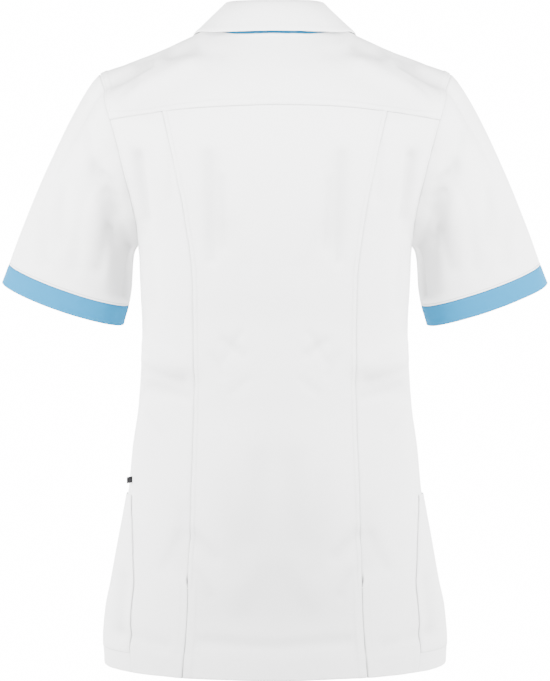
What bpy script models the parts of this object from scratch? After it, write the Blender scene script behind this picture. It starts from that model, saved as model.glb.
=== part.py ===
"""Short-sleeved medical tunic, filled out as if worn, as one named solid for each cut piece.

The origin is where the wearer's shoulders carry the tunic: midway between the two points where
the shoulders meet the neck. +Z is up, the front faces -Y and the wearer's left is at +X.

Every piece of the body is a patch of one smooth form. A place on that form is an angle round it
(0 at the wearer's left side, 90 degrees at the centre back, -90 degrees at the centre front) and a
level (the height of its ring at the centre back). Seams are lines on the form that neighbours share.
Tables are in millimetres and degrees. Everything else is in metres and radians.
"""

import math
from typing import NamedTuple

import bpy
import bmesh
import numpy as np

MM = 0.001

# Driving sizes of the cloth
CLOTH = 1.2 * MM
HEM_CLOTH = 2.0 * MM
SEAM_GAP = 0.3 * MM
LAYER_STEP = CLOTH + SEAM_GAP

# Driving sizes of the tunic
HEM = -713 * MM
NAPE = -14 * MM
UNDERARM = -242 * MM
ARMHOLE_TOP_X = 195 * MM
UNDERARM_X = 151.8 * MM
ARMHOLE_BOW = 1.35
SHOULDER_LEVEL = -120 * MM
YOKE_HEIGHT = -95.5 * MM
YOKE_END_DROP = 11.5 * MM
YOKE_END_X = 174 * MM
YOKE_END_HEIGHT = -107 * MM
YOKE_CURVE = 2.2
FRONT_YOKE_ANGLE = math.radians(-20)
FRONT_OVERLAP = 15 * MM
LAP_LIFT = 0.85 * MM
LAP_FULL_X = 30 * MM
LAP_END_X = 60 * MM
VENT_TOP = -655 * MM
VENT_GAP_AT_HEM = 2.4 * MM

CUFF_HEIGHT = 23 * MM
CUFF_HALF_WIDTH = 70.5 * MM
CUFF_HALF_DEPTH = 41 * MM
CUFF_FLARE = 1.3 * MM
CUFF_CENTRE = np.array((232.3, -24.0, -284.5)) * MM
SLEEVE_LEAN = math.radians(19)
SLEEVE_PITCH = math.radians(12)
PIPING_RADIUS = 0.9 * MM

STAND_SHARE = 0.7
FOLD_INSET = 3 * MM
TURN_INSET = 2.1 * MM
TURN_DROP = 1.6 * MM

POCKET_STAND_OFF = 0.3 * MM
POCKET_FULL_SHARE = 0.5
POCKET_SIDE_INSET = 1.5 * MM

BUTTON_COUNT = 6
BUTTON_RADIUS = 7.5 * MM
BUTTON_THICKNESS = 2.6 * MM
BUTTON_RIM = 0.6 * MM
BUTTON_LIFT = 0.4 * MM
FIRST_BUTTON = -100 * MM
LAST_BUTTON = -590 * MM

LABEL_HEIGHT = -503 * MM
LABEL_WIDTH = 4.5 * MM
LABEL_LENGTH = 7 * MM
LABEL_DROP = 1.5 * MM

WHITE = (0.84, 0.84, 0.84)
BLUE = (0.19, 0.60, 0.86)
IVORY = (0.88, 0.88, 0.86)
BLACK = (0.01, 0.01, 0.012)
CLOTH_ROUGHNESS = 0.85
BUTTON_ROUGHNESS = 0.35

# How far the cloth must face back or front to take the whole of a fold of that side
FOLD_FACING = 0.35
# Shares of the sleeve's length over which its folds rise from the armhole and fade at the cuff
FOLD_RISE = 0.25
FOLD_FADE = 0.2
# The wall at the armhole is never longer than the cloth's thickness divided by this
LEAST_MITRE = 0.42

# How finely the solids are cut: segments along each stretch of seam
LOWER_ROWS = 22
BACK_ARMHOLE_ROWS = 9
SHOULDER_SEGMENTS = 8
FRONT_ARMHOLE_ROWS = 10
YOKE_ROWS = 6
SIDE_BACK_COLUMNS = 6
CENTRE_BACK_COLUMNS = 10
FRONT_YOKE_COLUMNS = YOKE_ROWS
FRONT_NECK_COLUMNS = 8
SLEEVE_ROWS = (0.0, 0.06, 0.16, 0.28, 0.40, 0.52, 0.64, 0.76, 0.88, 1.0)
CUFF_ROWS = (0.0, 0.5, 1.0)
COLLAR_COLUMNS = 40
STAND_ROWS = 2
LEAF_ROWS = 5
POCKET_COLUMNS = 7
POCKET_ROWS = (1, 9)
PIPING_SIDES = 6
BUTTON_SIDES = 16
SHARP_ANGLE = math.radians(50)
HALVINGS = 45
END_SHARE = 0.0001
NORMAL_TURN = 0.02
NORMAL_CLIMB = 1.5 * MM

MIRROR = np.array((-1.0, 1.0, 1.0))


class Ring(NamedTuple):
    """One closed section of the body form."""

    back: float
    side: float
    front: float
    half_width: float
    side_depth: float
    back_depth: float
    front_depth: float
    back_roundness: float
    front_roundness: float
    crest: float


# Heights at the centre back, side and centre front; half width; depths (y) at the side, the centre
# back and the centre front; superellipse powers; how sharply the ring falls from the shoulder.
RINGS = (
    Ring(-713, -711, -713, 191.0, -18, 112, -118, 2.00, 2.10, 2),
    Ring(-690, -689, -690, 192.2, -18, 113, -119, 2.00, 2.10, 2),
    Ring(-650, -650, -650, 189.2, -17, 114, -120, 2.00, 2.10, 2),
    Ring(-617, -617, -617, 182.4, -15, 113, -119, 2.05, 2.15, 2),
    Ring(-563, -563, -563, 172.6, -12, 108, -115, 2.10, 2.20, 2),
    Ring(-516, -516, -516, 164.0, -10, 101, -110, 2.15, 2.20, 2),
    Ring(-469, -469, -469, 159.4, -8, 93, -104, 2.20, 2.20, 2),
    Ring(-416, -416, -416, 152.3, -6, 86, -100, 2.30, 2.20, 2),
    Ring(-337, -337, -337, 148.4, -5, 87, -108, 2.40, 2.20, 2),
    Ring(-292, -292, -294, 150.2, -4, 94, -121, 2.40, 2.15, 2),
    Ring(-242, -242, -248, 151.8, -3, 102, -127, 2.45, 2.10, 2),
    Ring(-205, -198, -217, 164.0, -2, 106, -124, 2.50, 2.10, 3),
    Ring(-165, -140, -186, 184.0, 0, 108, -118, 2.50, 2.10, 6),
    Ring(-120, -59, -150, 200.0, 0, 106, -108, 2.50, 2.10, 8),
    Ring(-90, -40, -128, 165.0, 0, 100, -101, 2.40, 2.10, 7),
    Ring(-60, -26, -110, 130.0, 0, 90, -95, 2.30, 2.10, 5),
    Ring(-35, -13.5, -95, 102.0, 0, 76, -90, 2.10, 2.10, 3),
    Ring(-14, 0, -82, 75.0, 0, 62, -86, 2.00, 2.00, 2),
)


class SeamPoint(NamedTuple):
    """One point of a seam: its height, and its distance from the middle or its angle."""

    height: float
    place: float


# The side seam by angle: it sits behind the fullest part of the hip.
SIDE_SEAM = (
    SeamPoint(-713, 35.5),
    SeamPoint(-620, 33),
    SeamPoint(-563, 26),
    SeamPoint(-520, 17),
    SeamPoint(-460, 10),
    SeamPoint(-300, 6),
    SeamPoint(-242, 0),
)

# The two long back seams by their distance from the centre back.
PRINCESS_SEAM = (
    SeamPoint(-713, 99.6),
    SeamPoint(-655, 95.4),
    SeamPoint(-574, 93.2),
    SeamPoint(-521, 91.2),
    SeamPoint(-467, 88.8),
    SeamPoint(-392, 85.2),
    SeamPoint(-348, 85.2),
    SeamPoint(-284, 87.0),
    SeamPoint(-219, 96.4),
    SeamPoint(-149, 110.3),
    SeamPoint(-98, 121.8),
)


class Fold(NamedTuple):
    """A soft trough (depth below 0) or ridge between two points of the cloth, seen square on."""

    start_x: float
    start_z: float
    end_x: float
    end_z: float
    width: float
    depth: float


BACK_FOLDS = (
    Fold(152, -404, 92, -393, 14, -3.2),
    Fold(146, -371, 102, -376, 12, 2.4),
    Fold(150, -150, 146, -228, 10, -2.4),
    Fold(66, -160, 63, -238, 17, -2.6),
    Fold(46, -228, 32, -268, 13, -1.6),
    Fold(102, -535, 104, -592, 13, -2.2),
    Fold(136, -34, 172, -62, 8, -2.6),
    Fold(0, -470, 0, -600, 40, -2.5),
)

FRONT_FOLDS = (
    Fold(150, -398, 88, -404, 14, -3.0),
    Fold(140, -372, 100, -378, 12, 2.0),
    Fold(146, -160, 140, -224, 11, -2.2),
    Fold(62, -470, 70, -610, 26, -2.4),
    Fold(120, -262, 84, -330, 16, -2.0),
)

SLEEVE_FOLDS = (
    Fold(196, -158, 184, -228, 10, -4.0),
    Fold(184, -232, 196, -268, 9, -3.0),
    Fold(224, -160, 214, -222, 12, 2.4),
    Fold(237, -184, 240, -232, 13, -3.0),
)


class SleeveLine(NamedTuple):
    """How the sleeve leaves the armhole at one of its four quarters, and how it meets the cuff."""

    out: float
    back: float
    up: float
    start_reach: float
    end_reach: float


SLEEVE_TOP = SleeveLine(0.84, 0.0, -0.54, 27, 72)
SLEEVE_BACK = SleeveLine(0.60, -0.16, -0.72, 46, 48)
SLEEVE_UNDER = SleeveLine(0.85, 0.0, -0.53, 14, 25)
SLEEVE_FRONT = SleeveLine(0.60, -0.06, -0.75, 46, 48)


class CollarStation(NamedTuple):
    """The collar's fold line, the bulge below it and its lower edge, at one angle."""

    angle: float
    fold_x: float
    fold_y: float
    fold_z: float
    bulge_x: float
    bulge_y: float
    bulge_z: float
    edge_x: float
    edge_y: float
    edge_z: float


COLLAR = (
    CollarStation(-86, 4, -80, -66, 22, -93, -75, 58, -98.5, -126),
    CollarStation(-60, 29, -66, -42, 54, -77, -49, 84, -84, -106),
    CollarStation(-38, 45, -43, -10, 70, -52, -16, 101, -60, -66),
    CollarStation(-18, 53, -20, 15, 72, -27, 8, 97, -33, -22),
    CollarStation(0, 55.5, 0, 27.5, 64, 0, 20, 88.5, 0, -3.5),
    CollarStation(40, 43, 34, 26, 51, 43, 21, 66, 50, -10),
    CollarStation(90, 0, 52, 23.5, 0, 62, 22, 0, 71, -11.5),
)


def smooth_curve(knots, values):
    """Return a function that runs smoothly through the values, with no overshoot between them."""
    knots = np.asarray(knots, float)
    values = np.asarray(values, float)
    step = np.diff(knots)
    slope = np.diff(values) / step
    tangent = np.zeros_like(values)
    tangent[0] = slope[0]
    tangent[-1] = slope[-1]
    product = slope[:-1] * slope[1:]
    total = slope[:-1] + slope[1:]
    same_way = product > 0
    tangent[1:-1][same_way] = 2 * product[same_way] / total[same_way]

    def curve(place):
        place = np.clip(place, knots[0], knots[-1])
        index = np.clip(np.searchsorted(knots, place, side="right") - 1, 0, len(step) - 1)
        t = (place - knots[index]) / step[index]
        start = values[index] * (1 + 2 * t) * (1 - t) ** 2
        end = values[index + 1] * t * t * (3 - 2 * t)
        start_slope = tangent[index] * step[index] * t * (1 - t) ** 2
        end_slope = tangent[index + 1] * step[index] * t * t * (t - 1)
        return start + end + start_slope + end_slope

    return curve


def unit(vector):
    """Scale the last axis of an array to length 1."""
    vector = np.asarray(vector, float)
    return vector / np.maximum(np.linalg.norm(vector, axis=-1, keepdims=True), 1e-12)


def smooth_step(value):
    """Rise smoothly from 0 to 1 as the value does."""
    value = np.clip(value, 0, 1)
    return value * value * (3 - 2 * value)


def power(value, exponent):
    """Raise the size of a value to a power and keep its sign."""
    return np.sign(value) * np.abs(value) ** exponent


def ring_curve(column, scale=MM):
    """Make one column of the ring table a smooth function of the level."""
    levels = [ring.back * MM for ring in RINGS]
    return smooth_curve(levels, [getattr(ring, column) * scale for ring in RINGS])


SIDE_HEIGHT = ring_curve("side")
FRONT_HEIGHT = ring_curve("front")
HALF_WIDTH = ring_curve("half_width")
SIDE_DEPTH = ring_curve("side_depth")
BACK_DEPTH = ring_curve("back_depth")
FRONT_DEPTH = ring_curve("front_depth")
BACK_ROUNDNESS = ring_curve("back_roundness", 1)
FRONT_ROUNDNESS = ring_curve("front_roundness", 1)
CREST = ring_curve("crest", 1)
SIDE_SEAM_ANGLE = smooth_curve(
    [point.height * MM for point in SIDE_SEAM],
    [math.radians(point.place) for point in SIDE_SEAM],
)
PRINCESS_SEAM_X = smooth_curve(
    [point.height * MM for point in PRINCESS_SEAM],
    [point.place * MM for point in PRINCESS_SEAM],
)


def roundness_at(angle, level):
    """Superellipse power of the ring, for its back or its front half."""
    return np.where(np.sin(angle) >= 0, BACK_ROUNDNESS(level), FRONT_ROUNDNESS(level))


def form_point(angle, level):
    """Point of the smooth body form, without folds."""
    angle, level = np.broadcast_arrays(np.asarray(angle, float), np.asarray(level, float))
    cosine = np.cos(angle)
    sine = np.sin(angle)
    exponent = 2 / roundness_at(angle, level)
    x = HALF_WIDTH(level) * power(cosine, exponent)
    reach = np.abs(sine) ** exponent
    middle = SIDE_DEPTH(level)
    outer = np.where(sine >= 0, BACK_DEPTH(level), FRONT_DEPTH(level))
    y = middle + (outer - middle) * reach
    low = np.where(sine >= 0, level, FRONT_HEIGHT(level))
    z = low + (SIDE_HEIGHT(level) - low) * np.abs(cosine) ** CREST(level)
    return np.stack((x, y, z), axis=-1)


def form_normal(angle, level):
    """Outward normal of the smooth body form."""
    around = form_point(angle + NORMAL_TURN, level) - form_point(angle - NORMAL_TURN, level)
    low = np.maximum(level - NORMAL_CLIMB, HEM)
    high = np.minimum(level + NORMAL_CLIMB, NAPE)
    along = form_point(angle, high) - form_point(angle, low)
    return unit(np.cross(around, along))


def fold_depth(folds, points):
    """Sum of the folds at the given points, measured in the view square to the cloth."""
    x = np.abs(points[..., 0])
    z = points[..., 2]
    total = np.zeros_like(x)
    for fold in folds:
        start = np.array((fold.start_x, fold.start_z)) * MM
        run = np.array((fold.end_x, fold.end_z)) * MM - start
        share = ((x - start[0]) * run[0] + (z - start[1]) * run[1]) / (run @ run)
        inside = np.clip(share, 0, 1)
        off = np.hypot(x - start[0] - inside * run[0], z - start[1] - inside * run[1])
        total += fold.depth * MM * np.exp(-((off / (fold.width * MM)) ** 2))
    return total


def with_folds(points, normals, back_folds, front_folds):
    """Push the points along their normals by the folds of the side that they face."""
    facing = normals[..., 1]
    depth = fold_depth(back_folds, points) * smooth_step(facing / FOLD_FACING)
    depth = depth + fold_depth(front_folds, points) * smooth_step(-facing / FOLD_FACING)
    return points + normals * depth[..., None]


def cloth_point(angle, level):
    """Middle of the body's cloth, folds included, and the outward normal there."""
    points = form_point(angle, level)
    normals = form_normal(angle, level)
    return with_folds(points, normals, BACK_FOLDS, FRONT_FOLDS), normals


def halve(low, high, is_low):
    """Close in on the value where is_low turns from true to false."""
    for _ in range(HALVINGS):
        middle = (low + high) / 2
        if is_low(middle):
            low = middle
        else:
            high = middle
    return (low + high) / 2


def angle_for_x(x, level, facing):
    """Angle at which the ring of this level has the given x on its back (1) or front (-1) half."""
    curve = BACK_ROUNDNESS if facing > 0 else FRONT_ROUNDNESS
    ratio = min(1.0, abs(x) / float(HALF_WIDTH(level)))
    cosine = math.copysign(ratio ** (float(curve(level)) / 2), x)
    return facing * math.acos(cosine)


def place_on_form(x, height, facing):
    """Angle and level of the form's point at this x and height, on its back (1) or front (-1)."""
    top = NAPE
    if x > HALF_WIDTH(NAPE):
        top = halve(SHOULDER_LEVEL, NAPE, lambda level: HALF_WIDTH(level) > x)

    def below(level):
        angle = angle_for_x(x, level, facing)
        return form_point(angle, level)[2] < height

    level = halve(HEM, top, below)
    return angle_for_x(x, level, facing), level


def armhole_place(turn):
    """Angle and level on the armhole, as it turns from the underarm up the back to the front."""
    top_level = halve(SHOULDER_LEVEL, NAPE, lambda level: HALF_WIDTH(level) > ARMHOLE_TOP_X)
    top = float(SIDE_HEIGHT(top_level))
    height = (top + UNDERARM) / 2 - (top - UNDERARM) / 2 * math.cos(turn)
    share = (height - UNDERARM) / (top - UNDERARM)
    x = UNDERARM_X + (ARMHOLE_TOP_X - UNDERARM_X) * max(share, 0.0) ** ARMHOLE_BOW
    if share > 1 - END_SHARE:
        return 0.0, top_level
    if share < END_SHARE:
        return 0.0, UNDERARM
    return place_on_form(x, height, 1 if math.sin(turn) >= 0 else -1)


def spread(start, end, segments):
    """Evenly spaced values, both ends included."""
    return np.linspace(start, end, segments + 1)


def armhole_turns():
    """Turns of the points that all pieces round the armhole share, from the underarm back to it."""
    back_yoke = halve(0.0, math.pi, lambda turn: armhole_height(turn) < YOKE_END_HEIGHT)
    front_yoke = halve(math.pi, 1.9 * math.pi, lambda turn: armhole_place(turn)[0] > FRONT_YOKE_ANGLE)
    back = spread(0, back_yoke, BACK_ARMHOLE_ROWS)
    top = spread(back_yoke, front_yoke, SHOULDER_SEGMENTS)
    front = spread(front_yoke, 2 * math.pi, FRONT_ARMHOLE_ROWS)
    return np.concatenate((back, top[1:], front[1:-1]))


def armhole_height(turn):
    """Height of the armhole's point at this turn."""
    angle, level = armhole_place(turn)
    return float(form_point(angle, level)[2])


ARMHOLE = np.array([armhole_place(turn) for turn in armhole_turns()])
ARMHOLE_COUNT = len(ARMHOLE)
BACK_YOKE_END = BACK_ARMHOLE_ROWS
FRONT_YOKE_END = BACK_ARMHOLE_ROWS + SHOULDER_SEGMENTS


def sleeve_quarters():
    """Weights of the sleeve's top, back, underarm and front at each point of the armhole."""
    turn = spread(0, 2 * math.pi, ARMHOLE_COUNT)[:-1]
    under = np.maximum(np.cos(turn), 0) ** 2
    top = np.maximum(-np.cos(turn), 0) ** 2
    back = np.maximum(np.sin(turn), 0) ** 2
    front = np.maximum(-np.sin(turn), 0) ** 2
    return turn, top[:, None], back[:, None], under[:, None], front[:, None]


def blend_quarters(column):
    """Blend the same values of the four sleeve lines round the armhole."""
    _, top, back, under, front = sleeve_quarters()
    lines = (SLEEVE_TOP, SLEEVE_BACK, SLEEVE_UNDER, SLEEVE_FRONT)
    values = [np.array(column(line), float) for line in lines]
    return top * values[0] + back * values[1] + under * values[2] + front * values[3]


def cuff_axes():
    """Directions along the sleeve, across it and towards its back, at the cuff."""
    along = unit((
        math.sin(SLEEVE_LEAN),
        -math.sin(SLEEVE_PITCH),
        -math.cos(SLEEVE_LEAN) * math.cos(SLEEVE_PITCH),
    ))
    across = np.array((math.cos(SLEEVE_LEAN), 0.0, math.sin(SLEEVE_LEAN)))
    across = unit(across - along * (across @ along))
    return along, across, np.cross(across, along)


def cuff_ring(distance, flare=0.0):
    """Ring of the cuff, at a distance down the sleeve from the cuff's seam."""
    along, across, backwards = cuff_axes()
    turn = sleeve_quarters()[0][:, None]
    wide = (CUFF_HALF_WIDTH + flare) * -np.cos(turn) * across
    deep = (CUFF_HALF_DEPTH + flare) * np.sin(turn) * backwards
    return CUFF_CENTRE + along * distance + wide + deep


def armhole_joint():
    """The armhole's points, the wall direction that body and sleeve share, and the way across."""
    points, body_normals = cloth_point(ARMHOLE[:, 0], ARMHOLE[:, 1])
    tangents = unit(np.roll(points, -1, axis=0) - np.roll(points, 1, axis=0))
    leaving = unit(blend_quarters(lambda line: (line.out, line.back, line.up)))
    leaving = unit(leaving - tangents * np.sum(leaving * tangents, axis=1, keepdims=True))
    sleeve_normals = unit(np.cross(tangents, leaving))
    wall = unit(body_normals + sleeve_normals)
    share = np.maximum(np.sum(wall * body_normals, axis=1, keepdims=True), LEAST_MITRE)
    across = unit(unit(np.cross(body_normals, tangents)) + leaving)
    return points, wall * CLOTH / 2 / share, across, leaving


JOINT_POINTS, JOINT_WALL, JOINT_ACROSS, JOINT_LEAVING = armhole_joint()


def sleeve_grid():
    """Middle of the sleeve's cloth and its outward normals, from the armhole to the cuff."""
    along = cuff_axes()[0]
    end = cuff_ring(-PIPING_RADIUS - SEAM_GAP)
    start_reach = blend_quarters(lambda line: (line.start_reach,)) * MM
    end_reach = blend_quarters(lambda line: (line.end_reach,)) * MM
    first = JOINT_POINTS + JOINT_LEAVING * start_reach
    second = end - along * end_reach
    rows = []
    for t in SLEEVE_ROWS:
        row = JOINT_POINTS * (1 - t) ** 3 + first * 3 * t * (1 - t) ** 2
        row = row + second * 3 * t * t * (1 - t) + end * t ** 3
        rows.append(row)
    points = np.array(rows)
    normals = grid_normals(points, closed=True)
    share = np.array(SLEEVE_ROWS)
    fade = smooth_step(share / FOLD_RISE) * smooth_step((1 - share) / FOLD_FADE)
    folded = with_folds(points, normals, SLEEVE_FOLDS, SLEEVE_FOLDS)
    return points + (folded - points) * fade[:, None, None], normals


def grid_normals(points, closed=False):
    """Normals of a grid whose rows run away from the body and whose columns turn round it."""
    down = np.gradient(points, axis=0)
    if closed:
        around = np.roll(points, -1, axis=1) - np.roll(points, 1, axis=1)
    else:
        around = np.gradient(points, axis=1)
    return unit(np.cross(around, down))


def patch(bottom, top, left, right, first_bent_row=0):
    """Fill four lines of (angle, level) that share their ends, with a smooth grid between them.

    The rows bend towards the top line from the first bent row on.
    """
    rows = np.linspace(0, 1, len(left))[:, None, None]
    columns = np.linspace(0, 1, len(bottom))[None, :, None]
    bent = (np.arange(len(left)) - first_bent_row) / (len(left) - 1 - first_bent_row)
    bent = np.maximum(bent, 0)[:, None, None] ** 2
    between_sides = left[:, None] * (1 - columns) + right[:, None] * columns
    bottom_bend = bottom - (bottom[0] * (1 - columns) + bottom[-1] * columns)
    top_bend = top - (top[0] * (1 - columns) + top[-1] * columns)
    return between_sides + bottom_bend * (1 - rows) + top_bend * bent


def line(start, end, segments):
    """Evenly spaced (angle, level) places from one place to another."""
    return np.linspace(start, end, segments + 1)


def yoke_seam_place(x):
    """Angle and level of the yoke's seam across the back, at a distance from the centre."""
    height = YOKE_HEIGHT - YOKE_END_DROP * (x / YOKE_END_X) ** YOKE_CURVE
    return place_on_form(x, height, 1)


def princess_line():
    """The long back seam from the hem to the yoke."""
    lower = spread(HEM, UNDERARM, LOWER_ROWS)
    upper = spread(UNDERARM, float(form_point(*princess_top())[2]), BACK_ARMHOLE_ROWS)[1:]
    places = []
    for height in np.concatenate((lower, upper)):
        x = float(PRINCESS_SEAM_X(height))
        places.append(place_on_form(x, height, 1))
    places[-1] = princess_top()
    return np.array(places)


def princess_top():
    """Where the long back seam meets the yoke."""
    return yoke_seam_place(PRINCESS_SEAM[-1].place * MM)


def side_line():
    """The side seam from the hem to the underarm."""
    levels = spread(HEM, UNDERARM, LOWER_ROWS)
    return np.stack((SIDE_SEAM_ANGLE(levels), levels), axis=1)


def yoke_line():
    """The yoke's seam from the armhole to the centre back."""
    end = ARMHOLE[BACK_YOKE_END]
    end_x = float(form_point(*end)[0])
    princess_x = PRINCESS_SEAM[-1].place * MM
    outer = [yoke_seam_place(x) for x in spread(end_x, princess_x, SIDE_BACK_COLUMNS)]
    outer[0] = tuple(end)
    inner = [yoke_seam_place(x) for x in spread(princess_x, 0, CENTRE_BACK_COLUMNS // 2)]
    return np.array(outer), np.array(inner)


def mirror_places(places):
    """The same places on the other side of the body."""
    return np.stack((math.pi - places[..., 0], places[..., 1]), axis=-1)


class Piece:
    """A wall of cloth on a grid of points, with a vector from its middle to its outer face."""

    def __init__(self, points, walls):
        self.points = np.array(points)
        self.walls = np.array(walls)

    @classmethod
    def on_body(cls, places, thickness=CLOTH):
        """Lay the piece on the body form."""
        points, normals = cloth_point(places[..., 0], places[..., 1])
        return cls(points, normals * thickness / 2)

    def trim_row(self, row, span=slice(None)):
        """Draw the first (0) or last (-1) row back from its seam, within a span of columns."""
        inner = self.points[1 if row == 0 else -2, span]
        self.points[row, span] += unit(inner - self.points[row, span]) * SEAM_GAP / 2

    def trim_column(self, column, amount=SEAM_GAP / 2):
        """Draw the first (0) or last (-1) column back from its seam, by one or many amounts."""
        inner = self.points[:, 1 if column == 0 else -2]
        inwards = unit(inner - self.points[:, column])
        self.points[:, column] += inwards * np.reshape(amount, (-1, 1))

    def draw_in(self, cell, towards, amount):
        """Move one point of the grid towards another."""
        self.points[cell] += unit(self.points[towards] - self.points[cell]) * amount

    def join_armhole(self, cells, indices):
        """Set the cells that lie on the armhole against the sleeve."""
        for cell, index in zip(cells, indices):
            self.points[cell] = JOINT_POINTS[index] - JOINT_ACROSS[index] * SEAM_GAP / 2
            self.walls[cell] = JOINT_WALL[index]

    def mirrored(self):
        """The same piece on the other side of the body."""
        return Piece(self.points * MIRROR, self.walls * MIRROR)

    def solid(self, name, finish, closed=False):
        """Build the wall as one closed mesh object."""
        rows, columns = self.points.shape[:2]
        count = rows * columns
        vertices = np.concatenate((self.points + self.walls, self.points - self.walls))
        vertices = vertices.reshape(-1, 3)
        last = columns if closed else columns - 1
        faces = []
        for i in range(rows - 1):
            for j in range(last):
                k = (j + 1) % columns
                corners = (i * columns + j, i * columns + k, (i + 1) * columns + k, (i + 1) * columns + j)
                faces.append(corners)
                faces.append(tuple(corner + count for corner in reversed(corners)))
        for i, turned in ((0, True), (rows - 1, False)):
            for j in range(last):
                k = (j + 1) % columns
                faces.append(rim_face(i * columns + j, i * columns + k, count, turned))
        if not closed:
            for j, turned in ((0, False), (columns - 1, True)):
                for i in range(rows - 1):
                    faces.append(rim_face(i * columns + j, (i + 1) * columns + j, count, turned))
        mesh_object(name, vertices, faces, finish)


def rim_face(first, second, count, turned):
    """One face between the outer and the inner skin, along an edge of the cloth."""
    face = (first, second, second + count, first + count)
    return tuple(reversed(face)) if turned else face


def mesh_object(name, vertices, faces, finish):
    """Make one mesh object with outward faces and its own material."""
    mesh = bpy.data.meshes.new(name)
    mesh.from_pydata([tuple(vertex) for vertex in vertices], [], faces)
    editable = bmesh.new()
    editable.from_mesh(mesh)
    bmesh.ops.recalc_face_normals(editable, faces=editable.faces)
    editable.to_mesh(mesh)
    editable.free()
    mesh.shade_smooth()
    mesh.set_sharp_from_angle(angle=SHARP_ANGLE)
    mesh.materials.append(finish)
    bpy.context.collection.objects.link(bpy.data.objects.new(name, mesh))


def make_finish(name, colour, roughness):
    """A plain surface colour for one piece."""
    finish = bpy.data.materials.new(name)
    finish.use_nodes = True
    surface = finish.node_tree.nodes["Principled BSDF"]
    surface.inputs["Base Color"].default_value = (*colour, 1)
    surface.inputs["Roughness"].default_value = roughness
    surface.inputs["Metallic"].default_value = 0
    return finish


def both_sides(name, piece, finish, closed=False):
    """Build a left piece and its mirror image."""
    piece.solid(f"{name}_left", finish, closed)
    piece.mirrored().solid(f"{name}_right", finish, closed)


def vent_trim(levels):
    """Half of the opening between the back panels, which widens down the vent."""
    open_share = smooth_step((VENT_TOP - levels) / (VENT_TOP - HEM))
    return (SEAM_GAP + (VENT_GAP_AT_HEM - SEAM_GAP) * open_share) / 2


def build_back(finish):
    """The centre back panel and the two side back panels."""
    seam = princess_line()
    outer_yoke, inner_yoke = yoke_line()
    far_seam = mirror_places(seam)
    top = np.concatenate((inner_yoke, mirror_places(inner_yoke[:-1][::-1])))
    bottom = line(seam[0], far_seam[0], CENTRE_BACK_COLUMNS)
    centre = Piece.on_body(patch(bottom, top, seam, far_seam))
    vent = vent_trim(seam[:, 1])
    centre.trim_column(0, vent)
    centre.trim_column(-1, vent)
    centre.trim_row(-1)
    centre.solid("back_centre", finish)

    outer = np.concatenate((side_line(), ARMHOLE[1:BACK_YOKE_END + 1]))
    bottom = line(outer[0], seam[0], SIDE_BACK_COLUMNS)
    side = Piece.on_body(patch(bottom, outer_yoke, outer, seam))
    side.trim_column(-1, vent)
    side.trim_column(0)
    side.trim_row(-1)
    indices = range(BACK_YOKE_END + 1)
    side.join_armhole([(LOWER_ROWS + k, 0) for k in indices], indices)
    side.draw_in((-1, 0), (-2, 0), SEAM_GAP / 2)
    side.draw_in((LOWER_ROWS, 0), (LOWER_ROWS, 1), SEAM_GAP / 2)
    both_sides("side_back", side, finish)


def build_yoke(finish):
    """The yoke over both shoulders, from one front seam round the back to the other."""
    shoulder = ARMHOLE[BACK_YOKE_END:FRONT_YOKE_END + 1][::-1]
    outer_yoke, inner_yoke = yoke_line()
    left = np.concatenate((shoulder, outer_yoke[1:], inner_yoke[1:]))
    outer = np.concatenate((left, mirror_places(left[:-1][::-1])))
    neck = np.stack((outer[:, 0], np.full(len(outer), NAPE)), axis=1)
    share = np.linspace(0, 1, YOKE_ROWS + 1)[:, None, None]
    yoke = Piece.on_body(outer[None] * (1 - share) + neck[None] * share)
    yoke.trim_row(0)
    yoke.trim_column(0)
    yoke.trim_column(-1)
    indices = list(range(FRONT_YOKE_END, BACK_YOKE_END - 1, -1))
    yoke.join_armhole([(0, j) for j in range(len(indices))], indices)
    for j in range(len(indices)):
        yoke.points[0, -1 - j] = yoke.points[0, j] * MIRROR
        yoke.walls[0, -1 - j] = yoke.walls[0, j] * MIRROR
    for j in (0, len(indices) - 1):
        yoke.draw_in((0, j), (1, j), SEAM_GAP)
        yoke.draw_in((0, -1 - j), (1, -1 - j), SEAM_GAP)
    yoke.solid("yoke", finish)


def front_places():
    """Grid of the left front: hem to neck, side seam and armhole to the front edge."""
    armhole = ARMHOLE[FRONT_YOKE_END:][::-1]
    side = side_line()
    outer = np.concatenate((side, armhole))
    levels = np.concatenate((side[:, 1], spread(UNDERARM, NAPE, FRONT_ARMHOLE_ROWS)[1:]))
    edge = np.array([(angle_for_x(-FRONT_OVERLAP, level, -1), level) for level in levels])
    yoke_seam = line(armhole[-1], (FRONT_YOKE_ANGLE, NAPE), FRONT_YOKE_COLUMNS)
    neck = line(yoke_seam[-1], edge[-1], FRONT_NECK_COLUMNS)[1:]
    top = np.concatenate((yoke_seam, neck))
    bottom = line(outer[0], edge[0], FRONT_YOKE_COLUMNS + FRONT_NECK_COLUMNS)
    return patch(bottom, top, outer, edge, first_bent_row=LOWER_ROWS)


def lap_share(points):
    """How far the cloth has reached its full lap at the front edge."""
    return 1 - smooth_step((points[..., 0] - LAP_FULL_X) / (LAP_END_X - LAP_FULL_X))


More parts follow.
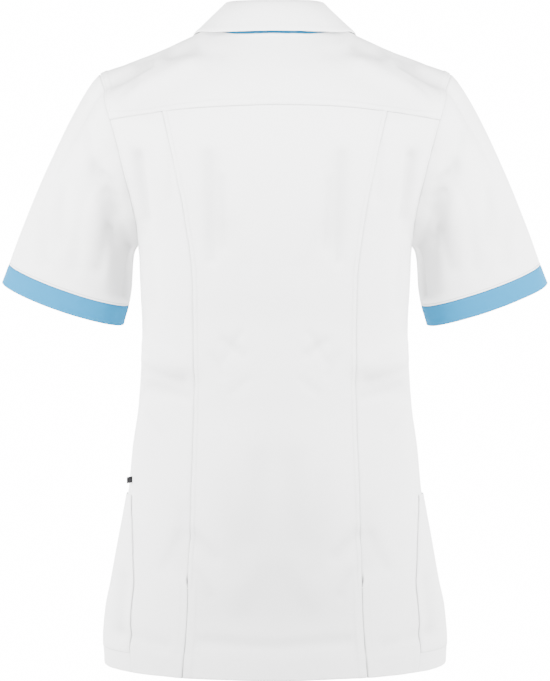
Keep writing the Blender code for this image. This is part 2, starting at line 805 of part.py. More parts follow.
def build_fronts(finish):
    """The two fronts, the wearer's right one over the left one, and their hip pockets."""
    places = front_places()
    front = Piece.on_body(places)
    front.trim_column(0)
    front.trim_row(-1, slice(0, FRONT_YOKE_COLUMNS + 1))
    indices = [0] + list(range(ARMHOLE_COUNT - 1, FRONT_YOKE_END - 1, -1))
    front.join_armhole([(LOWER_ROWS + k, 0) for k in range(len(indices))], indices)
    front.draw_in((-1, 0), (-2, 0), SEAM_GAP)
    front.draw_in((LOWER_ROWS, 0), (LOWER_ROWS, 1), SEAM_GAP / 2)
    lap = lap_share(front.points)[..., None] * unit(front.walls) * LAP_LIFT

    left = Piece(front.points - lap, front.walls)
    left.solid("front_left", finish)
    right = Piece(front.points + lap, front.walls).mirrored()
    right.solid("front_right", finish)

    low, high = POCKET_ROWS
    cloth = front.points[low:high + 1, :POCKET_COLUMNS + 1]
    walls = front.walls[low:high + 1, :POCKET_COLUMNS + 1]
    rise = np.linspace(0, 1, high - low + 1)[:, None, None]
    lift = LAYER_STEP + POCKET_STAND_OFF * smooth_step(rise / POCKET_FULL_SHARE)
    pocket = Piece(cloth + unit(walls) * lift, walls)
    pocket.trim_column(0, POCKET_SIDE_INSET)
    both_sides("pocket", pocket, finish)


def collar_column(name):
    """Make one column of the collar table a smooth function of the angle, even across the back."""
    sign = -1 if name.endswith("x") else 1
    angles = [math.radians(station.angle) for station in COLLAR]
    values = [getattr(station, name) * MM for station in COLLAR]
    angles += [math.pi - angle for angle in angles[-2::-1]]
    values += [sign * value for value in values[-2::-1]]
    return smooth_curve(angles, values)


def collar_lines(angle):
    """Fold line, bulge and lower edge of the collar's left half."""
    lines = []
    for part in ("fold", "bulge", "edge"):
        curves = [collar_column(f"{part}_{axis}") for axis in "xyz"]
        lines.append(np.stack([curve(angle) for curve in curves], axis=-1))
    return lines


def build_collar(white, blue):
    """The stand that rises from the neck, and the leaf that folds over it."""
    end = math.radians(COLLAR[0].angle)
    angles = spread(end, math.pi / 2, COLLAR_COLUMNS // 2)
    fold, bulge, edge = collar_lines(angles)
    root, _ = cloth_point(angles, NAPE)
    inward = unit(np.stack((-fold[:, 0], -fold[:, 1], np.zeros(len(fold))), axis=1))
    inset = CLOTH / 2 + SEAM_GAP + lap_share(root)[:, None] * (LAP_LIFT + SEAM_GAP)
    root = root + inward * inset + np.array((0, 0, SEAM_GAP))
    top = root + (fold + inward * FOLD_INSET - root) * STAND_SHARE

    rise = np.linspace(0, 1, STAND_ROWS + 1)[:, None, None]
    stand = whole_collar(root[None] * (1 - rise) + top[None] * rise)
    stand.trim_row(-1)
    stand.solid("collar_stand", blue)

    turn = fold + inward * TURN_INSET - np.array((0, 0, TURN_DROP))
    rows = [top, turn, fold]
    for t in np.linspace(0, 1, LEAF_ROWS)[1:]:
        rows.append(fold * (1 - t) ** 2 + bulge * 2 * t * (1 - t) + edge * t * t)
    leaf = whole_collar(np.array(rows))
    leaf.trim_row(0)
    leaf.solid("collar_leaf", white)


def whole_collar(left_rows):
    """Join the left half of the collar's grid to its mirror image, as one wall."""
    points = np.concatenate((left_rows, left_rows[:, :-1][:, ::-1] * MIRROR), axis=1)
    return Piece(points, grid_normals(points) * -CLOTH / 2)


def build_sleeves(white, blue):
    """The sleeves, the piping at their ends and the cuffs."""
    points, normals = sleeve_grid()
    sleeve = Piece(points, normals * CLOTH / 2)
    sleeve.points[0] = JOINT_POINTS + JOINT_ACROSS * SEAM_GAP / 2
    sleeve.walls[0] = JOINT_WALL
    both_sides("sleeve", sleeve, white, closed=True)

    start = PIPING_RADIUS + SEAM_GAP
    rows = [cuff_ring(start + CUFF_HEIGHT * share, CUFF_FLARE * share) for share in CUFF_ROWS]
    points = np.array(rows)
    cuff = Piece(points, grid_normals(points, closed=True) * HEM_CLOTH / 2)
    both_sides("cuff", cuff, blue, closed=True)

    along = cuff_axes()[0]
    middle = cuff_ring(0)
    outward = unit(grid_normals(np.array((middle, middle + along * MM)), closed=True)[0])
    lines = []
    for turn in np.linspace(0, 2 * math.pi, PIPING_SIDES, endpoint=False):
        lines.append(middle + (outward * math.cos(turn) + along * math.sin(turn)) * PIPING_RADIUS)
    build_loop("piping_left", np.array(lines), white)
    build_loop("piping_right", np.array(lines) * MIRROR, white)


def build_loop(name, lines, finish):
    """A closed loop of round cord from its lengthwise lines of points."""
    sides, count = lines.shape[:2]
    faces = []
    for i in range(sides):
        for j in range(count):
            up, on = (i + 1) % sides, (j + 1) % count
            faces.append((i * count + j, i * count + on, up * count + on, up * count + j))
    mesh_object(name, lines.reshape(-1, 3), faces, finish)


def button_profile():
    """Rise and radius of each ring of a button, from its back to its face."""
    return (
        (0.0, BUTTON_RADIUS - BUTTON_RIM),
        (BUTTON_RIM, BUTTON_RADIUS),
        (BUTTON_THICKNESS - BUTTON_RIM, BUTTON_RADIUS),
        (BUTTON_THICKNESS, BUTTON_RADIUS - BUTTON_RIM),
    )


def build_buttons(finish):
    """Round buttons down the wearer's right front edge, over the left one."""
    rings = len(button_profile())
    spokes = np.linspace(0, 2 * math.pi, BUTTON_SIDES, endpoint=False)[:, None]
    across = np.array((1.0, 0.0, 0.0))
    for number, height in enumerate(spread(FIRST_BUTTON, LAST_BUTTON, BUTTON_COUNT - 1), 1):
        angle, level = place_on_form(0.0, height, -1)
        centre, normal = cloth_point(np.array(angle), np.array(level))
        base = centre + normal * (LAP_LIFT + CLOTH / 2 + BUTTON_LIFT)
        around = across * np.cos(spokes) + unit(np.cross(normal, across)) * np.sin(spokes)
        vertices = [base + normal * rise + around * radius for rise, radius in button_profile()]
        faces = []
        for ring in range(rings - 1):
            for j in range(BUTTON_SIDES):
                first = ring * BUTTON_SIDES + j
                second = ring * BUTTON_SIDES + (j + 1) % BUTTON_SIDES
                faces.append((first, second, second + BUTTON_SIDES, first + BUTTON_SIDES))
        faces.append(tuple(range(BUTTON_SIDES)))
        faces.append(tuple(range((rings - 1) * BUTTON_SIDES, rings * BUTTON_SIDES)))
        mesh_object(f"button_{number}", np.concatenate(vertices), faces, finish)


def build_label(finish):
    """The small plain tab in the wearer's left side seam, just above the pocket."""
    angle = float(SIDE_SEAM_ANGLE(LABEL_HEIGHT))
    centre, normal = cloth_point(np.array(angle), np.array(LABEL_HEIGHT))
    start = centre + normal * (CLOTH / 2 + 2 * SEAM_GAP)
    end = start + normal * LABEL_WIDTH - np.array((0, 0, LABEL_DROP))
    half_length = np.array((0, 0, LABEL_LENGTH / 2))
    half_wall = unit(np.cross(normal, half_length)) * CLOTH / 2
    low = (start - half_length, end - half_length)
    high = (start + half_length, end + half_length)
    points = np.array((low, high))
    walls = np.broadcast_to(half_wall, points.shape)
    Piece(points, walls).solid("label_tab", finish)


def main():
    """Clear the scene and build every piece."""
    for item in list(bpy.data.objects):
        bpy.data.objects.remove(item)
    white = make_finish("white_cloth", WHITE, CLOTH_ROUGHNESS)
    blue = make_finish("blue_cloth", BLUE, CLOTH_ROUGHNESS)
    plastic = make_finish("button_plastic", IVORY, BUTTON_ROUGHNESS)
    black = make_finish("label_cloth", BLACK, CLOTH_ROUGHNESS)
    build_back(white)
    build_yoke(white)
    build_fronts(white)
    build_collar(white, blue)
    build_sleeves(white, blue)
    build_buttons(plastic)
    build_label(black)


main()
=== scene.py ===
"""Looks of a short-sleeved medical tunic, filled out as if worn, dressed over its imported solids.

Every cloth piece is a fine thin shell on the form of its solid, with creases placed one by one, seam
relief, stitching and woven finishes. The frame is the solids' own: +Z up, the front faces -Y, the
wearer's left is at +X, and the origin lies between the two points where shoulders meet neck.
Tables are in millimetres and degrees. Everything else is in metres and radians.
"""

from __future__ import annotations

import logging
import math
from collections.abc import Callable, Iterable, Sequence
from dataclasses import dataclass, field
from enum import Enum
from typing import NamedTuple

import bpy
import numpy as np
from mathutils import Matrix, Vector

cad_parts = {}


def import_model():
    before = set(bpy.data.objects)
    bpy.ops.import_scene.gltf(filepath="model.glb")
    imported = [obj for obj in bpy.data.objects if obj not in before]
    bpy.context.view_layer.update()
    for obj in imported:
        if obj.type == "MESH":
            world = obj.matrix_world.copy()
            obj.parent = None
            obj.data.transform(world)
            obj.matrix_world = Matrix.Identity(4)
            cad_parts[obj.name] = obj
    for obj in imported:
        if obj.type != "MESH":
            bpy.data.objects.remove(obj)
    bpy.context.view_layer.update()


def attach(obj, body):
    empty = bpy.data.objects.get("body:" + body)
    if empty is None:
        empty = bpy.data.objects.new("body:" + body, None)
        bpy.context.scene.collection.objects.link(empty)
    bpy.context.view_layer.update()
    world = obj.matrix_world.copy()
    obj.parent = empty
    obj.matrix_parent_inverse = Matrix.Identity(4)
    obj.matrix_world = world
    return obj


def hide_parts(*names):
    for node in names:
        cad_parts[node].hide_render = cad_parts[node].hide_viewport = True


LOG = logging.getLogger("tunic")
MM = 0.001
BODY = "root"
CLOTH_MAP = "cloth"
# Name of the mesh attribute that carries the painted shade of seams and troughs
PAINTED_SHADE = "seam_shade"
Array = np.ndarray
MIRROR = np.array((-1.0, 1.0, 1.0))


@dataclass(frozen=True)
class Sizes:
    """Driving sizes of the tunic, as on its solids."""

    cloth: float = 0.8 * MM
    solid_wall: float = 1.2 * MM
    hem_fold: float = 1.7 * MM
    hem_height: float = 30 * MM
    hem: float = -713 * MM
    nape: float = -14 * MM
    underarm: float = -242 * MM
    armhole_top_x: float = 195 * MM
    underarm_x: float = 151.8 * MM
    armhole_bow: float = 1.35
    armhole_stitch: float = 3.4 * MM
    shoulder_level: float = -120 * MM
    yoke_height: float = -95.5 * MM
    yoke_end_drop: float = 11.5 * MM
    yoke_end_x: float = 174 * MM
    yoke_end_height: float = -107 * MM
    yoke_curve: float = 2.2
    front_yoke_angle: float = math.radians(-20)
    front_overlap: float = 15 * MM
    lap_lift: float = 0.85 * MM
    lap_full_x: float = 30 * MM
    lap_end_x: float = 60 * MM
    vent_top: float = -655 * MM
    vent_gap_at_hem: float = 2.4 * MM
    cuff_height: float = 23 * MM
    cuff_half_width: float = 70.5 * MM
    cuff_half_depth: float = 41 * MM
    cuff_flare: float = 1.3 * MM
    cuff_wall: float = 1.8 * MM
    sleeve_lean: float = math.radians(19)
    sleeve_pitch: float = math.radians(12)
    piping_radius: float = 0.9 * MM
    seam_gap: float = 0.3 * MM
    stand_share: float = 0.7
    fold_inset: float = 3 * MM
    turn_inset: float = 2.1 * MM
    turn_drop: float = 1.6 * MM
    pocket_lift: float = 1.5 * MM
    pocket_stand_off: float = 0.3 * MM
    pocket_full_share: float = 0.5
    pocket_side_inset: float = 1.5 * MM


SIZES = Sizes()
CUFF_CENTRE = np.array((232.3, -24.0, -284.5)) * MM

# How far cloth must face back or front for a whole fold, how dark the painted shade of a trough gets at
# most, the depth at which it is full, and over which shares of the sleeve its folds come and go
FOLD_FACING = 0.35
FOLD_SHADE = 0.18
FOLD_SHADE_DEPTH = 7 * MM
FOLD_RISE = 0.2
FOLD_FADE = 0.1

# Limits and steps of the reckoning
LEAST_MITRE = 0.42
END_SHARE = 0.0001
NORMAL_TURN = 0.02
NORMAL_CLIMB = 1.5 * MM
HALVINGS = 45
JUST_UNDER = 1e-9
LEAST_LENGTH = 1e-12

# How edges lie at the seams: drawn back from a neighbour, or tucked under it
SEAM_TRIM = 0.35 * MM
TRIM_REACH = 8 * MM
TUCK = 2 * MM
UNDER = {"under": TUCK, "roll": 1.05 * MM, "roll_reach": 2.2 * MM, "lift": 0.0, "shade": 0.4}
SEWN_HEM = (0.02, 0.98)

# Slow unevenness of all pieces: its height, the sizes of its waves in millimetres and its first seed
UNEVENNESS = (
    (0.55 * MM, (52, 60, 95), 21),
    (0.2 * MM, (21, 24, 36), 31),
)

# Segments of the solids along each stretch of seam, and how much finer the shells are
FINER = 6
LOWER_ROWS = 22 * FINER
BACK_ARMHOLE_ROWS = 9 * FINER
SHOULDER_SEGMENTS = 8 * FINER
FRONT_ARMHOLE_ROWS = 10 * FINER
YOKE_ROWS = 6 * FINER
SIDE_BACK_COLUMNS = 6 * FINER
CENTRE_BACK_COLUMNS = 10 * FINER
FRONT_NECK_COLUMNS = 8 * FINER
SLEEVE_ROWS = 60
CUFF_ROWS = 8
COLLAR_COLUMNS = 240
STAND_ROWS = 8
LEAF_ROWS = 24
POCKET_COLUMNS = 7 * FINER
POCKET_ROWS = (1 * FINER, 9 * FINER)


class Ring(NamedTuple):
    """One closed section of the body form."""

    back: float
    side: float
    front: float
    half_width: float
    side_depth: float
    back_depth: float
    front_depth: float
    back_roundness: float
    front_roundness: float
    crest: float


# Heights at the centre back, side and centre front; half width; depths (y) at the side, the centre
# back and the centre front; superellipse powers; how sharply the ring falls from the shoulder.
RINGS = (
    Ring(-713, -711, -713, 191.0, -18, 112, -118, 2.00, 2.10, 2),
    Ring(-690, -689, -690, 192.2, -18, 113, -119, 2.00, 2.10, 2),
    Ring(-650, -650, -650, 189.2, -17, 114, -120, 2.00, 2.10, 2),
    Ring(-617, -617, -617, 182.4, -15, 113, -119, 2.05, 2.15, 2),
    Ring(-563, -563, -563, 172.6, -12, 108, -115, 2.10, 2.20, 2),
    Ring(-516, -516, -516, 164.0, -10, 101, -110, 2.15, 2.20, 2),
    Ring(-469, -469, -469, 159.4, -8, 93, -104, 2.20, 2.20, 2),
    Ring(-416, -416, -416, 152.3, -6, 86, -100, 2.30, 2.20, 2),
    Ring(-337, -337, -337, 148.4, -5, 87, -108, 2.40, 2.20, 2),
    Ring(-292, -292, -294, 150.2, -4, 94, -121, 2.40, 2.15, 2),
    Ring(-242, -242, -248, 151.8, -3, 102, -127, 2.45, 2.10, 2),
    Ring(-205, -198, -217, 164.0, -2, 106, -124, 2.50, 2.10, 3),
    Ring(-165, -140, -186, 184.0, 0, 108, -118, 2.50, 2.10, 6),
    Ring(-120, -59, -150, 200.0, 0, 106, -108, 2.50, 2.10, 8),
    Ring(-90, -40, -128, 165.0, 0, 100, -101, 2.40, 2.10, 7),
    Ring(-60, -26, -110, 130.0, 0, 90, -95, 2.30, 2.10, 5),
    Ring(-35, -13.5, -95, 102.0, 0, 76, -90, 2.10, 2.10, 3),
    Ring(-14, 0, -82, 75.0, 0, 62, -86, 2.00, 2.00, 4),
)


class SeamPoint(NamedTuple):
    """One point of a seam: its height, and its distance from the middle or its angle."""

    height: float
    place: float


SIDE_SEAM = (
    SeamPoint(-713, 35.5),
    SeamPoint(-620, 33),
    SeamPoint(-563, 26),
    SeamPoint(-520, 17),
    SeamPoint(-460, 10),
    SeamPoint(-300, 6),
    SeamPoint(-242, 0),
)

PRINCESS_SEAM = (
    SeamPoint(-713, 99.6),
    SeamPoint(-655, 95.4),
    SeamPoint(-574, 93.2),
    SeamPoint(-521, 91.0),
    SeamPoint(-467, 89.2),
    SeamPoint(-392, 87.8),
    SeamPoint(-348, 87.8),
    SeamPoint(-284, 88.6),
    SeamPoint(-219, 96.4),
    SeamPoint(-149, 110.3),
    SeamPoint(-98, 121.8),
)


class Fold(NamedTuple):
    """A soft trough (depth below 0) or ridge between two points of the cloth, seen square on."""

    start_x: float
    start_z: float
    end_x: float
    end_z: float
    width: float
    depth: float


# The large folds come first, as the solids have them, and then the finer ones
BACK_FOLDS = (
    Fold(152, -404, 92, -393, 14, -3.2),
    Fold(146, -371, 102, -376, 12, 2.4),
    Fold(150, -150, 146, -228, 10, -2.4),
    Fold(66, -160, 63, -238, 17, -2.6),
    Fold(46, -228, 32, -268, 13, -1.6),
    Fold(102, -535, 104, -592, 13, -2.2),
    Fold(136, -34, 172, -62, 8, -2.6),
    Fold(0, -470, 0, -600, 40, -2.5),
    Fold(72, -150, 69, -262, 7, -3.4),
    Fold(116, -140, 112, -196, 6, -1.8),
    Fold(58, -176, 56, -250, 5, -2.0),
    Fold(148, -150, 143, -214, 7, -4.2),
    Fold(150, -380, 104, -392, 7, -3.4),
    Fold(140, -398, 96, -410, 6, -2.2),
    Fold(148, -352, 120, -362, 7, 1.8),
    Fold(54, -350, 36, -364, 6, -2.6),
    Fold(38, -342, 56, -372, 5, -1.8),
    Fold(68, -366, 58, -386, 5, -1.8),
    Fold(30, -392, 46, -406, 5, -1.6),
    Fold(142, -430, 126, -450, 6, -2.0),
    Fold(88, -560, 66, -580, 8, -2.6),
    Fold(82, -600, 72, -622, 7, -1.8),
    Fold(106, -560, 122, -596, 7, -2.2),
    Fold(166, -612, 172, -668, 9, -3.4),
    Fold(172, -668, 118, -678, 7, -2.2),
    Fold(78, -672, 0, -676, 7, -2.2),
    Fold(118, -24, 152, -40, 7, -2.4),
    Fold(150, -62, 170, -84, 6, -2.2),
    Fold(84, -30, 112, -38, 8, -2.0),
    Fold(58, -36, 96, -32, 9, -1.8),
    Fold(140, -250, 136, -310, 8, -2.2),
    Fold(20, -480, 26, -560, 16, -2.2),
    Fold(52, -500, 44, -590, 15, -1.8),
    Fold(10, -600, 34, -640, 14, -1.6),
    Fold(62, -640, 0, -640, 34, -3.6),
    Fold(60, -560, 0, -570, 45, -2.2),
    Fold(175, -86, 92, -46, 11, 4.2),
    Fold(190, -70, 140, -43, 7, -4.4),
    Fold(118, -33, 88, -21, 7, -4.0),
)

FRONT_FOLDS = (
    Fold(150, -398, 88, -404, 14, -3.0),
    Fold(140, -372, 100, -378, 12, 2.0),
    Fold(146, -160, 140, -224, 11, -2.2),
    Fold(62, -470, 70, -610, 26, -2.4),
    Fold(120, -262, 84, -330, 16, -2.0),
    Fold(128, -240, 92, -262, 6, -2.6),
    Fold(120, -410, 84, -418, 6, -2.4),
    Fold(136, -386, 96, -392, 6, -2.2),
    Fold(64, -352, 36, -366, 6, -1.8),
    Fold(110, -146, 96, -196, 8, -2.4),
    Fold(96, -636, 102, -694, 10, -2.4),
    Fold(52, -206, 44, -268, 8, -2.0),
    Fold(40, -500, 48, -580, 12, -1.8),
)

SLEEVE_FOLDS = (
    Fold(196, -158, 184, -228, 10, -4.0),
    Fold(184, -232, 196, -268, 9, -3.0),
    Fold(224, -160, 214, -222, 12, 2.4),
    Fold(237, -184, 240, -232, 13, -3.0),
    Fold(177, -176, 174, -238, 11, -5.0),
    Fold(170, -246, 163, -300, 18, -9.0),
    Fold(188, -166, 168, -176, 5, -3.2),
    Fold(186, -186, 172, -190, 4, -2.0),
    Fold(206, -122, 199, -164, 6, -2.4),
    Fold(262, -214, 257, -262, 9, -2.6),
    Fold(216, -226, 222, -268, 8, -2.4),
    Fold(204, -86, 214, -120, 9, -1.8),
)


class SleeveLine(NamedTuple):
    """How the sleeve leaves the armhole at one of its four quarters, and how it meets the cuff."""

    out: float
    back: float
    up: float
    start_reach: float
    end_reach: float


SLEEVE_TOP = SleeveLine(0.84, 0.0, -0.54, 27, 72)
SLEEVE_BACK = SleeveLine(0.60, -0.16, -0.72, 46, 48)
SLEEVE_UNDER = SleeveLine(0.85, 0.0, -0.53, 14, 25)
SLEEVE_FRONT = SleeveLine(0.60, -0.06, -0.75, 46, 48)


class CollarStation(NamedTuple):
    """The collar's fold line, the bulge below it and its lower edge, at one angle."""

    angle: float
    fold_x: float
    fold_y: float
    fold_z: float
    bulge_x: float
    bulge_y: float
    bulge_z: float
    edge_x: float
    edge_y: float
    edge_z: float


COLLAR = (
    CollarStation(-86, 4, -80, -66, 22, -93, -75, 58, -98.5, -126),
    CollarStation(-60, 29, -66, -42, 54, -77, -49, 84, -84, -106),
    CollarStation(-38, 45, -43, -10, 70, -52, -16, 101, -60, -66),
    CollarStation(-18, 53, -20, 15, 72, -27, 8, 97, -33, -22),
    CollarStation(0, 55.5, 0, 27.5, 64, 0, 20, 88.5, 0, -3.5),
    CollarStation(40, 43, 34, 26, 51, 43, 21, 66, 50, -10),
    CollarStation(90, 0, 52, 23.5, 0, 62, 22, 0, 71, -11.5),
)


def unit(vector: Array) -> Array:
    """Scale the last axis of an array to length 1."""
    vector = np.asarray(vector, float)
    return vector / np.maximum(np.linalg.norm(vector, axis=-1, keepdims=True), LEAST_LENGTH)


def smooth_step(value: Array | float) -> Array:
    """Rise smoothly from 0 to 1 as the value does."""
    value = np.clip(value, 0, 1)
    return value * value * (3 - 2 * value)


def signed_power(value: Array, exponent: Array) -> Array:
    """Raise the size of a value to a power and keep its sign."""
    return np.sign(value) * np.abs(value) ** exponent


def spread(start: float, end: float, segments: int) -> Array:
    """Evenly spaced values, both ends included."""
    return np.linspace(start, end, segments + 1)


def smooth_curve(knots: Sequence[float], values: Sequence[float]) -> Callable[[Array], Array]:
    """Make a function that runs smoothly through the values, with no overshoot between them.

    Args:
        knots: rising places.
        values: the value at each place.

    Returns:
        A function of a place or an array of places.
    """
    knots = np.asarray(knots, float)
    values = np.asarray(values, float)
    step = np.diff(knots)
    slope = np.diff(values) / step
    tangent = np.zeros_like(values)
    tangent[0] = slope[0]
    tangent[-1] = slope[-1]
    product = slope[:-1] * slope[1:]
    total = slope[:-1] + slope[1:]
    same_way = product > 0
    tangent[1:-1][same_way] = 2 * product[same_way] / total[same_way]

    def curve(place: Array) -> Array:
        """Read the curve."""
        place = np.clip(place, knots[0], knots[-1])
        index = np.clip(np.searchsorted(knots, place, side="right") - 1, 0, len(step) - 1)
        t = (place - knots[index]) / step[index]
        start = values[index] * (1 + 2 * t) * (1 - t) ** 2
        end = values[index + 1] * t * t * (3 - 2 * t)
        start_slope = tangent[index] * step[index] * t * (1 - t) ** 2
        end_slope = tangent[index + 1] * step[index] * t * t * (t - 1)
        return start + end + start_slope + end_slope

    return curve


def halve(low: Array, high: Array, is_low: Callable[[Array], Array]) -> Array:
    """Close in on the values where is_low turns from true to false.

    Args:
        low: values where is_low holds, one or many.
        high: values where it does not.
        is_low: the test, for an array of values.

    Returns:
        The turning values.
    """
    low, high = np.broadcast_arrays(np.asarray(low, float), np.asarray(high, float))
    for _ in range(HALVINGS):
        middle = (low + high) / 2
        below = is_low(middle)
        low = np.where(below, middle, low)
        high = np.where(below, high, middle)
    return (low + high) / 2


def value_noise(points: Array, size: Sequence[float], seed: int) -> Array:
    """Smooth noise between -1 and 1 at points of space.

    Args:
        points: places, in metres.
        size: distance between the noise's own lattice points along each axis, in metres.
        seed: picks one noise out of many.

    Returns:
        One value for each point.
    """
    place = points / np.asarray(size, float) + seed * 17.31
    cell = np.floor(place).astype(np.int64)
    share = place - cell
    share = share * share * (3 - 2 * share)
    total = np.zeros(points.shape[:-1])
    for corner in np.ndindex(2, 2, 2):
        key = (cell + corner) * (73856093, 19349663, 83492791)
        mixed = (key[..., 0] ^ key[..., 1] ^ key[..., 2]) + seed * 7919
        mixed = (mixed ^ (mixed >> 13)) * 1274126177
        value = ((mixed ^ (mixed >> 16)) & 0xFFFF) / 32767.5 - 1
        weight = np.prod(np.where(np.array(corner) == 1, share, 1 - share), axis=-1)
        total += value * weight
    return total


class BodyForm:
    """The smooth form that all body pieces lie on, by an angle round it and a level."""

    def __init__(self) -> None:
        """Turn the tables into smooth curves of the level."""
        self.side_height = self._ring_curve("side")
        self.front_height = self._ring_curve("front")
        self.half_width = self._ring_curve("half_width")
        self.side_depth = self._ring_curve("side_depth")
        self.back_depth = self._ring_curve("back_depth")
        self.front_depth = self._ring_curve("front_depth")
        self.back_roundness = self._ring_curve("back_roundness", 1)
        self.front_roundness = self._ring_curve("front_roundness", 1)
        self.crest = self._ring_curve("crest", 1)
        self.side_seam_angle = smooth_curve(
            [point.height * MM for point in SIDE_SEAM],
            [math.radians(point.place) for point in SIDE_SEAM],
        )
        self.princess_seam_x = smooth_curve(
            [point.height * MM for point in PRINCESS_SEAM],
            [point.place * MM for point in PRINCESS_SEAM],
        )

    @staticmethod
    def _ring_curve(column: str, scale: float = MM) -> Callable[[Array], Array]:
        """Make one column of the ring table a smooth function of the level."""
        levels = [ring.back * MM for ring in RINGS]
        return smooth_curve(levels, [getattr(ring, column) * scale for ring in RINGS])

    def point(self, angle: Array, level: Array) -> Array:
        """Point of the form at an angle and a level, without folds."""
        angle, level = np.broadcast_arrays(np.asarray(angle, float), np.asarray(level, float))
        cosine = np.cos(angle)
        sine = np.sin(angle)
        back = sine >= 0
        exponent = 2 / np.where(back, self.back_roundness(level), self.front_roundness(level))
        x = self.half_width(level) * signed_power(cosine, exponent)
        reach = np.abs(sine) ** exponent
        middle = self.side_depth(level)
        outer = np.where(back, self.back_depth(level), self.front_depth(level))
        y = middle + (outer - middle) * reach
        low = np.where(back, level, self.front_height(level))
        z = low + (self.side_height(level) - low) * np.abs(cosine) ** self.crest(level)
        return np.stack((x, y, z), axis=-1)

    def normal(self, angle: Array, level: Array) -> Array:
        """Outward normal of the form at an angle and a level."""
        around = self.point(angle + NORMAL_TURN, level) - self.point(angle - NORMAL_TURN, level)
        low = np.maximum(level - NORMAL_CLIMB, SIZES.hem)
        high = np.minimum(level + NORMAL_CLIMB, SIZES.nape)
        return unit(np.cross(around, self.point(angle, high) - self.point(angle, low)))

    def angle_for_x(self, x: Array, level: Array, facing: Array) -> Array:
        """Angle at which a ring has the given x, on its back (1) or its front (-1)."""
        power = np.where(np.asarray(facing) > 0, self.back_roundness(level), self.front_roundness(level))
        ratio = np.minimum(1.0, np.abs(x) / self.half_width(level))
        return facing * np.arccos(np.clip(np.sign(x) * ratio ** (power / 2), -1, 1))

    def place_at(self, x: Array, height: Array, facing: Array) -> tuple[Array, Array]:
        """Angle and level of the form's points at these x and heights, on its back or front."""
        x, height = np.broadcast_arrays(np.asarray(x, float), np.asarray(height, float))
        crest = halve(SIZES.shoulder_level, SIZES.nape, lambda level: self.half_width(level) > x)
        top = np.where(x > self.half_width(SIZES.nape), crest, SIZES.nape)

        def below(level: Array) -> Array:
            """Say where the ring is still below the height."""
            return self.point(self.angle_for_x(x, level, facing), level)[..., 2] < height

        level = halve(np.full(x.shape, SIZES.hem), top, below)
        return self.angle_for_x(x, level, facing), level

    def armhole_top_level(self) -> float:
        """Level of the ring whose side is the highest point of the armhole."""
        return float(halve(
            SIZES.shoulder_level, SIZES.nape,
            lambda level: self.half_width(level) > SIZES.armhole_top_x,
        ))

    def armhole_places(self, turns: Array) -> Array:
        """Places on the armhole, as it turns from the underarm up the back to the front."""
        turns = np.atleast_1d(np.asarray(turns, float))
        top_level = self.armhole_top_level()
        top = float(self.side_height(top_level))
        height = (top + SIZES.underarm) / 2 - (top - SIZES.underarm) / 2 * np.cos(turns)
        share = np.clip((height - SIZES.underarm) / (top - SIZES.underarm), 0, 1)
        x = SIZES.underarm_x + (SIZES.armhole_top_x - SIZES.underarm_x) * share ** SIZES.armhole_bow
        angle, level = self.place_at(x, height, np.where(np.sin(turns) >= 0, 1, -1))
        at_top = share > 1 - END_SHARE
        at_bottom = share < END_SHARE
        angle = np.where(at_top | at_bottom, 0.0, angle)
        level = np.where(at_top, top_level, np.where(at_bottom, SIZES.underarm, level))
        return np.stack((angle, level), axis=-1)

    def yoke_seam_place(self, x: Array) -> Array:
        """Places of the yoke's seam across the back, at distances from the centre."""
        drop = SIZES.yoke_end_drop * (np.asarray(x, float) / SIZES.yoke_end_x) ** SIZES.yoke_curve
        return np.stack(self.place_at(x, SIZES.yoke_height - drop, 1), axis=-1)

    def side_line(self) -> Array:
        """Places of the side seam from the hem to the underarm."""
        levels = spread(SIZES.hem, SIZES.underarm, LOWER_ROWS)
        return np.stack((self.side_seam_angle(levels), levels), axis=1)

    def princess_line(self) -> Array:
        """Places of the long back seam from the hem to the yoke."""
        end = self.yoke_seam_place(PRINCESS_SEAM[-1].place * MM)
        lower = spread(SIZES.hem, SIZES.underarm, LOWER_ROWS)
        upper = spread(SIZES.underarm, float(self.point(*end)[2]), BACK_ARMHOLE_ROWS)[1:]
        heights = np.concatenate((lower, upper))
        places = np.stack(self.place_at(self.princess_seam_x(heights), heights, 1), axis=-1)
        places[-1] = end
        return places


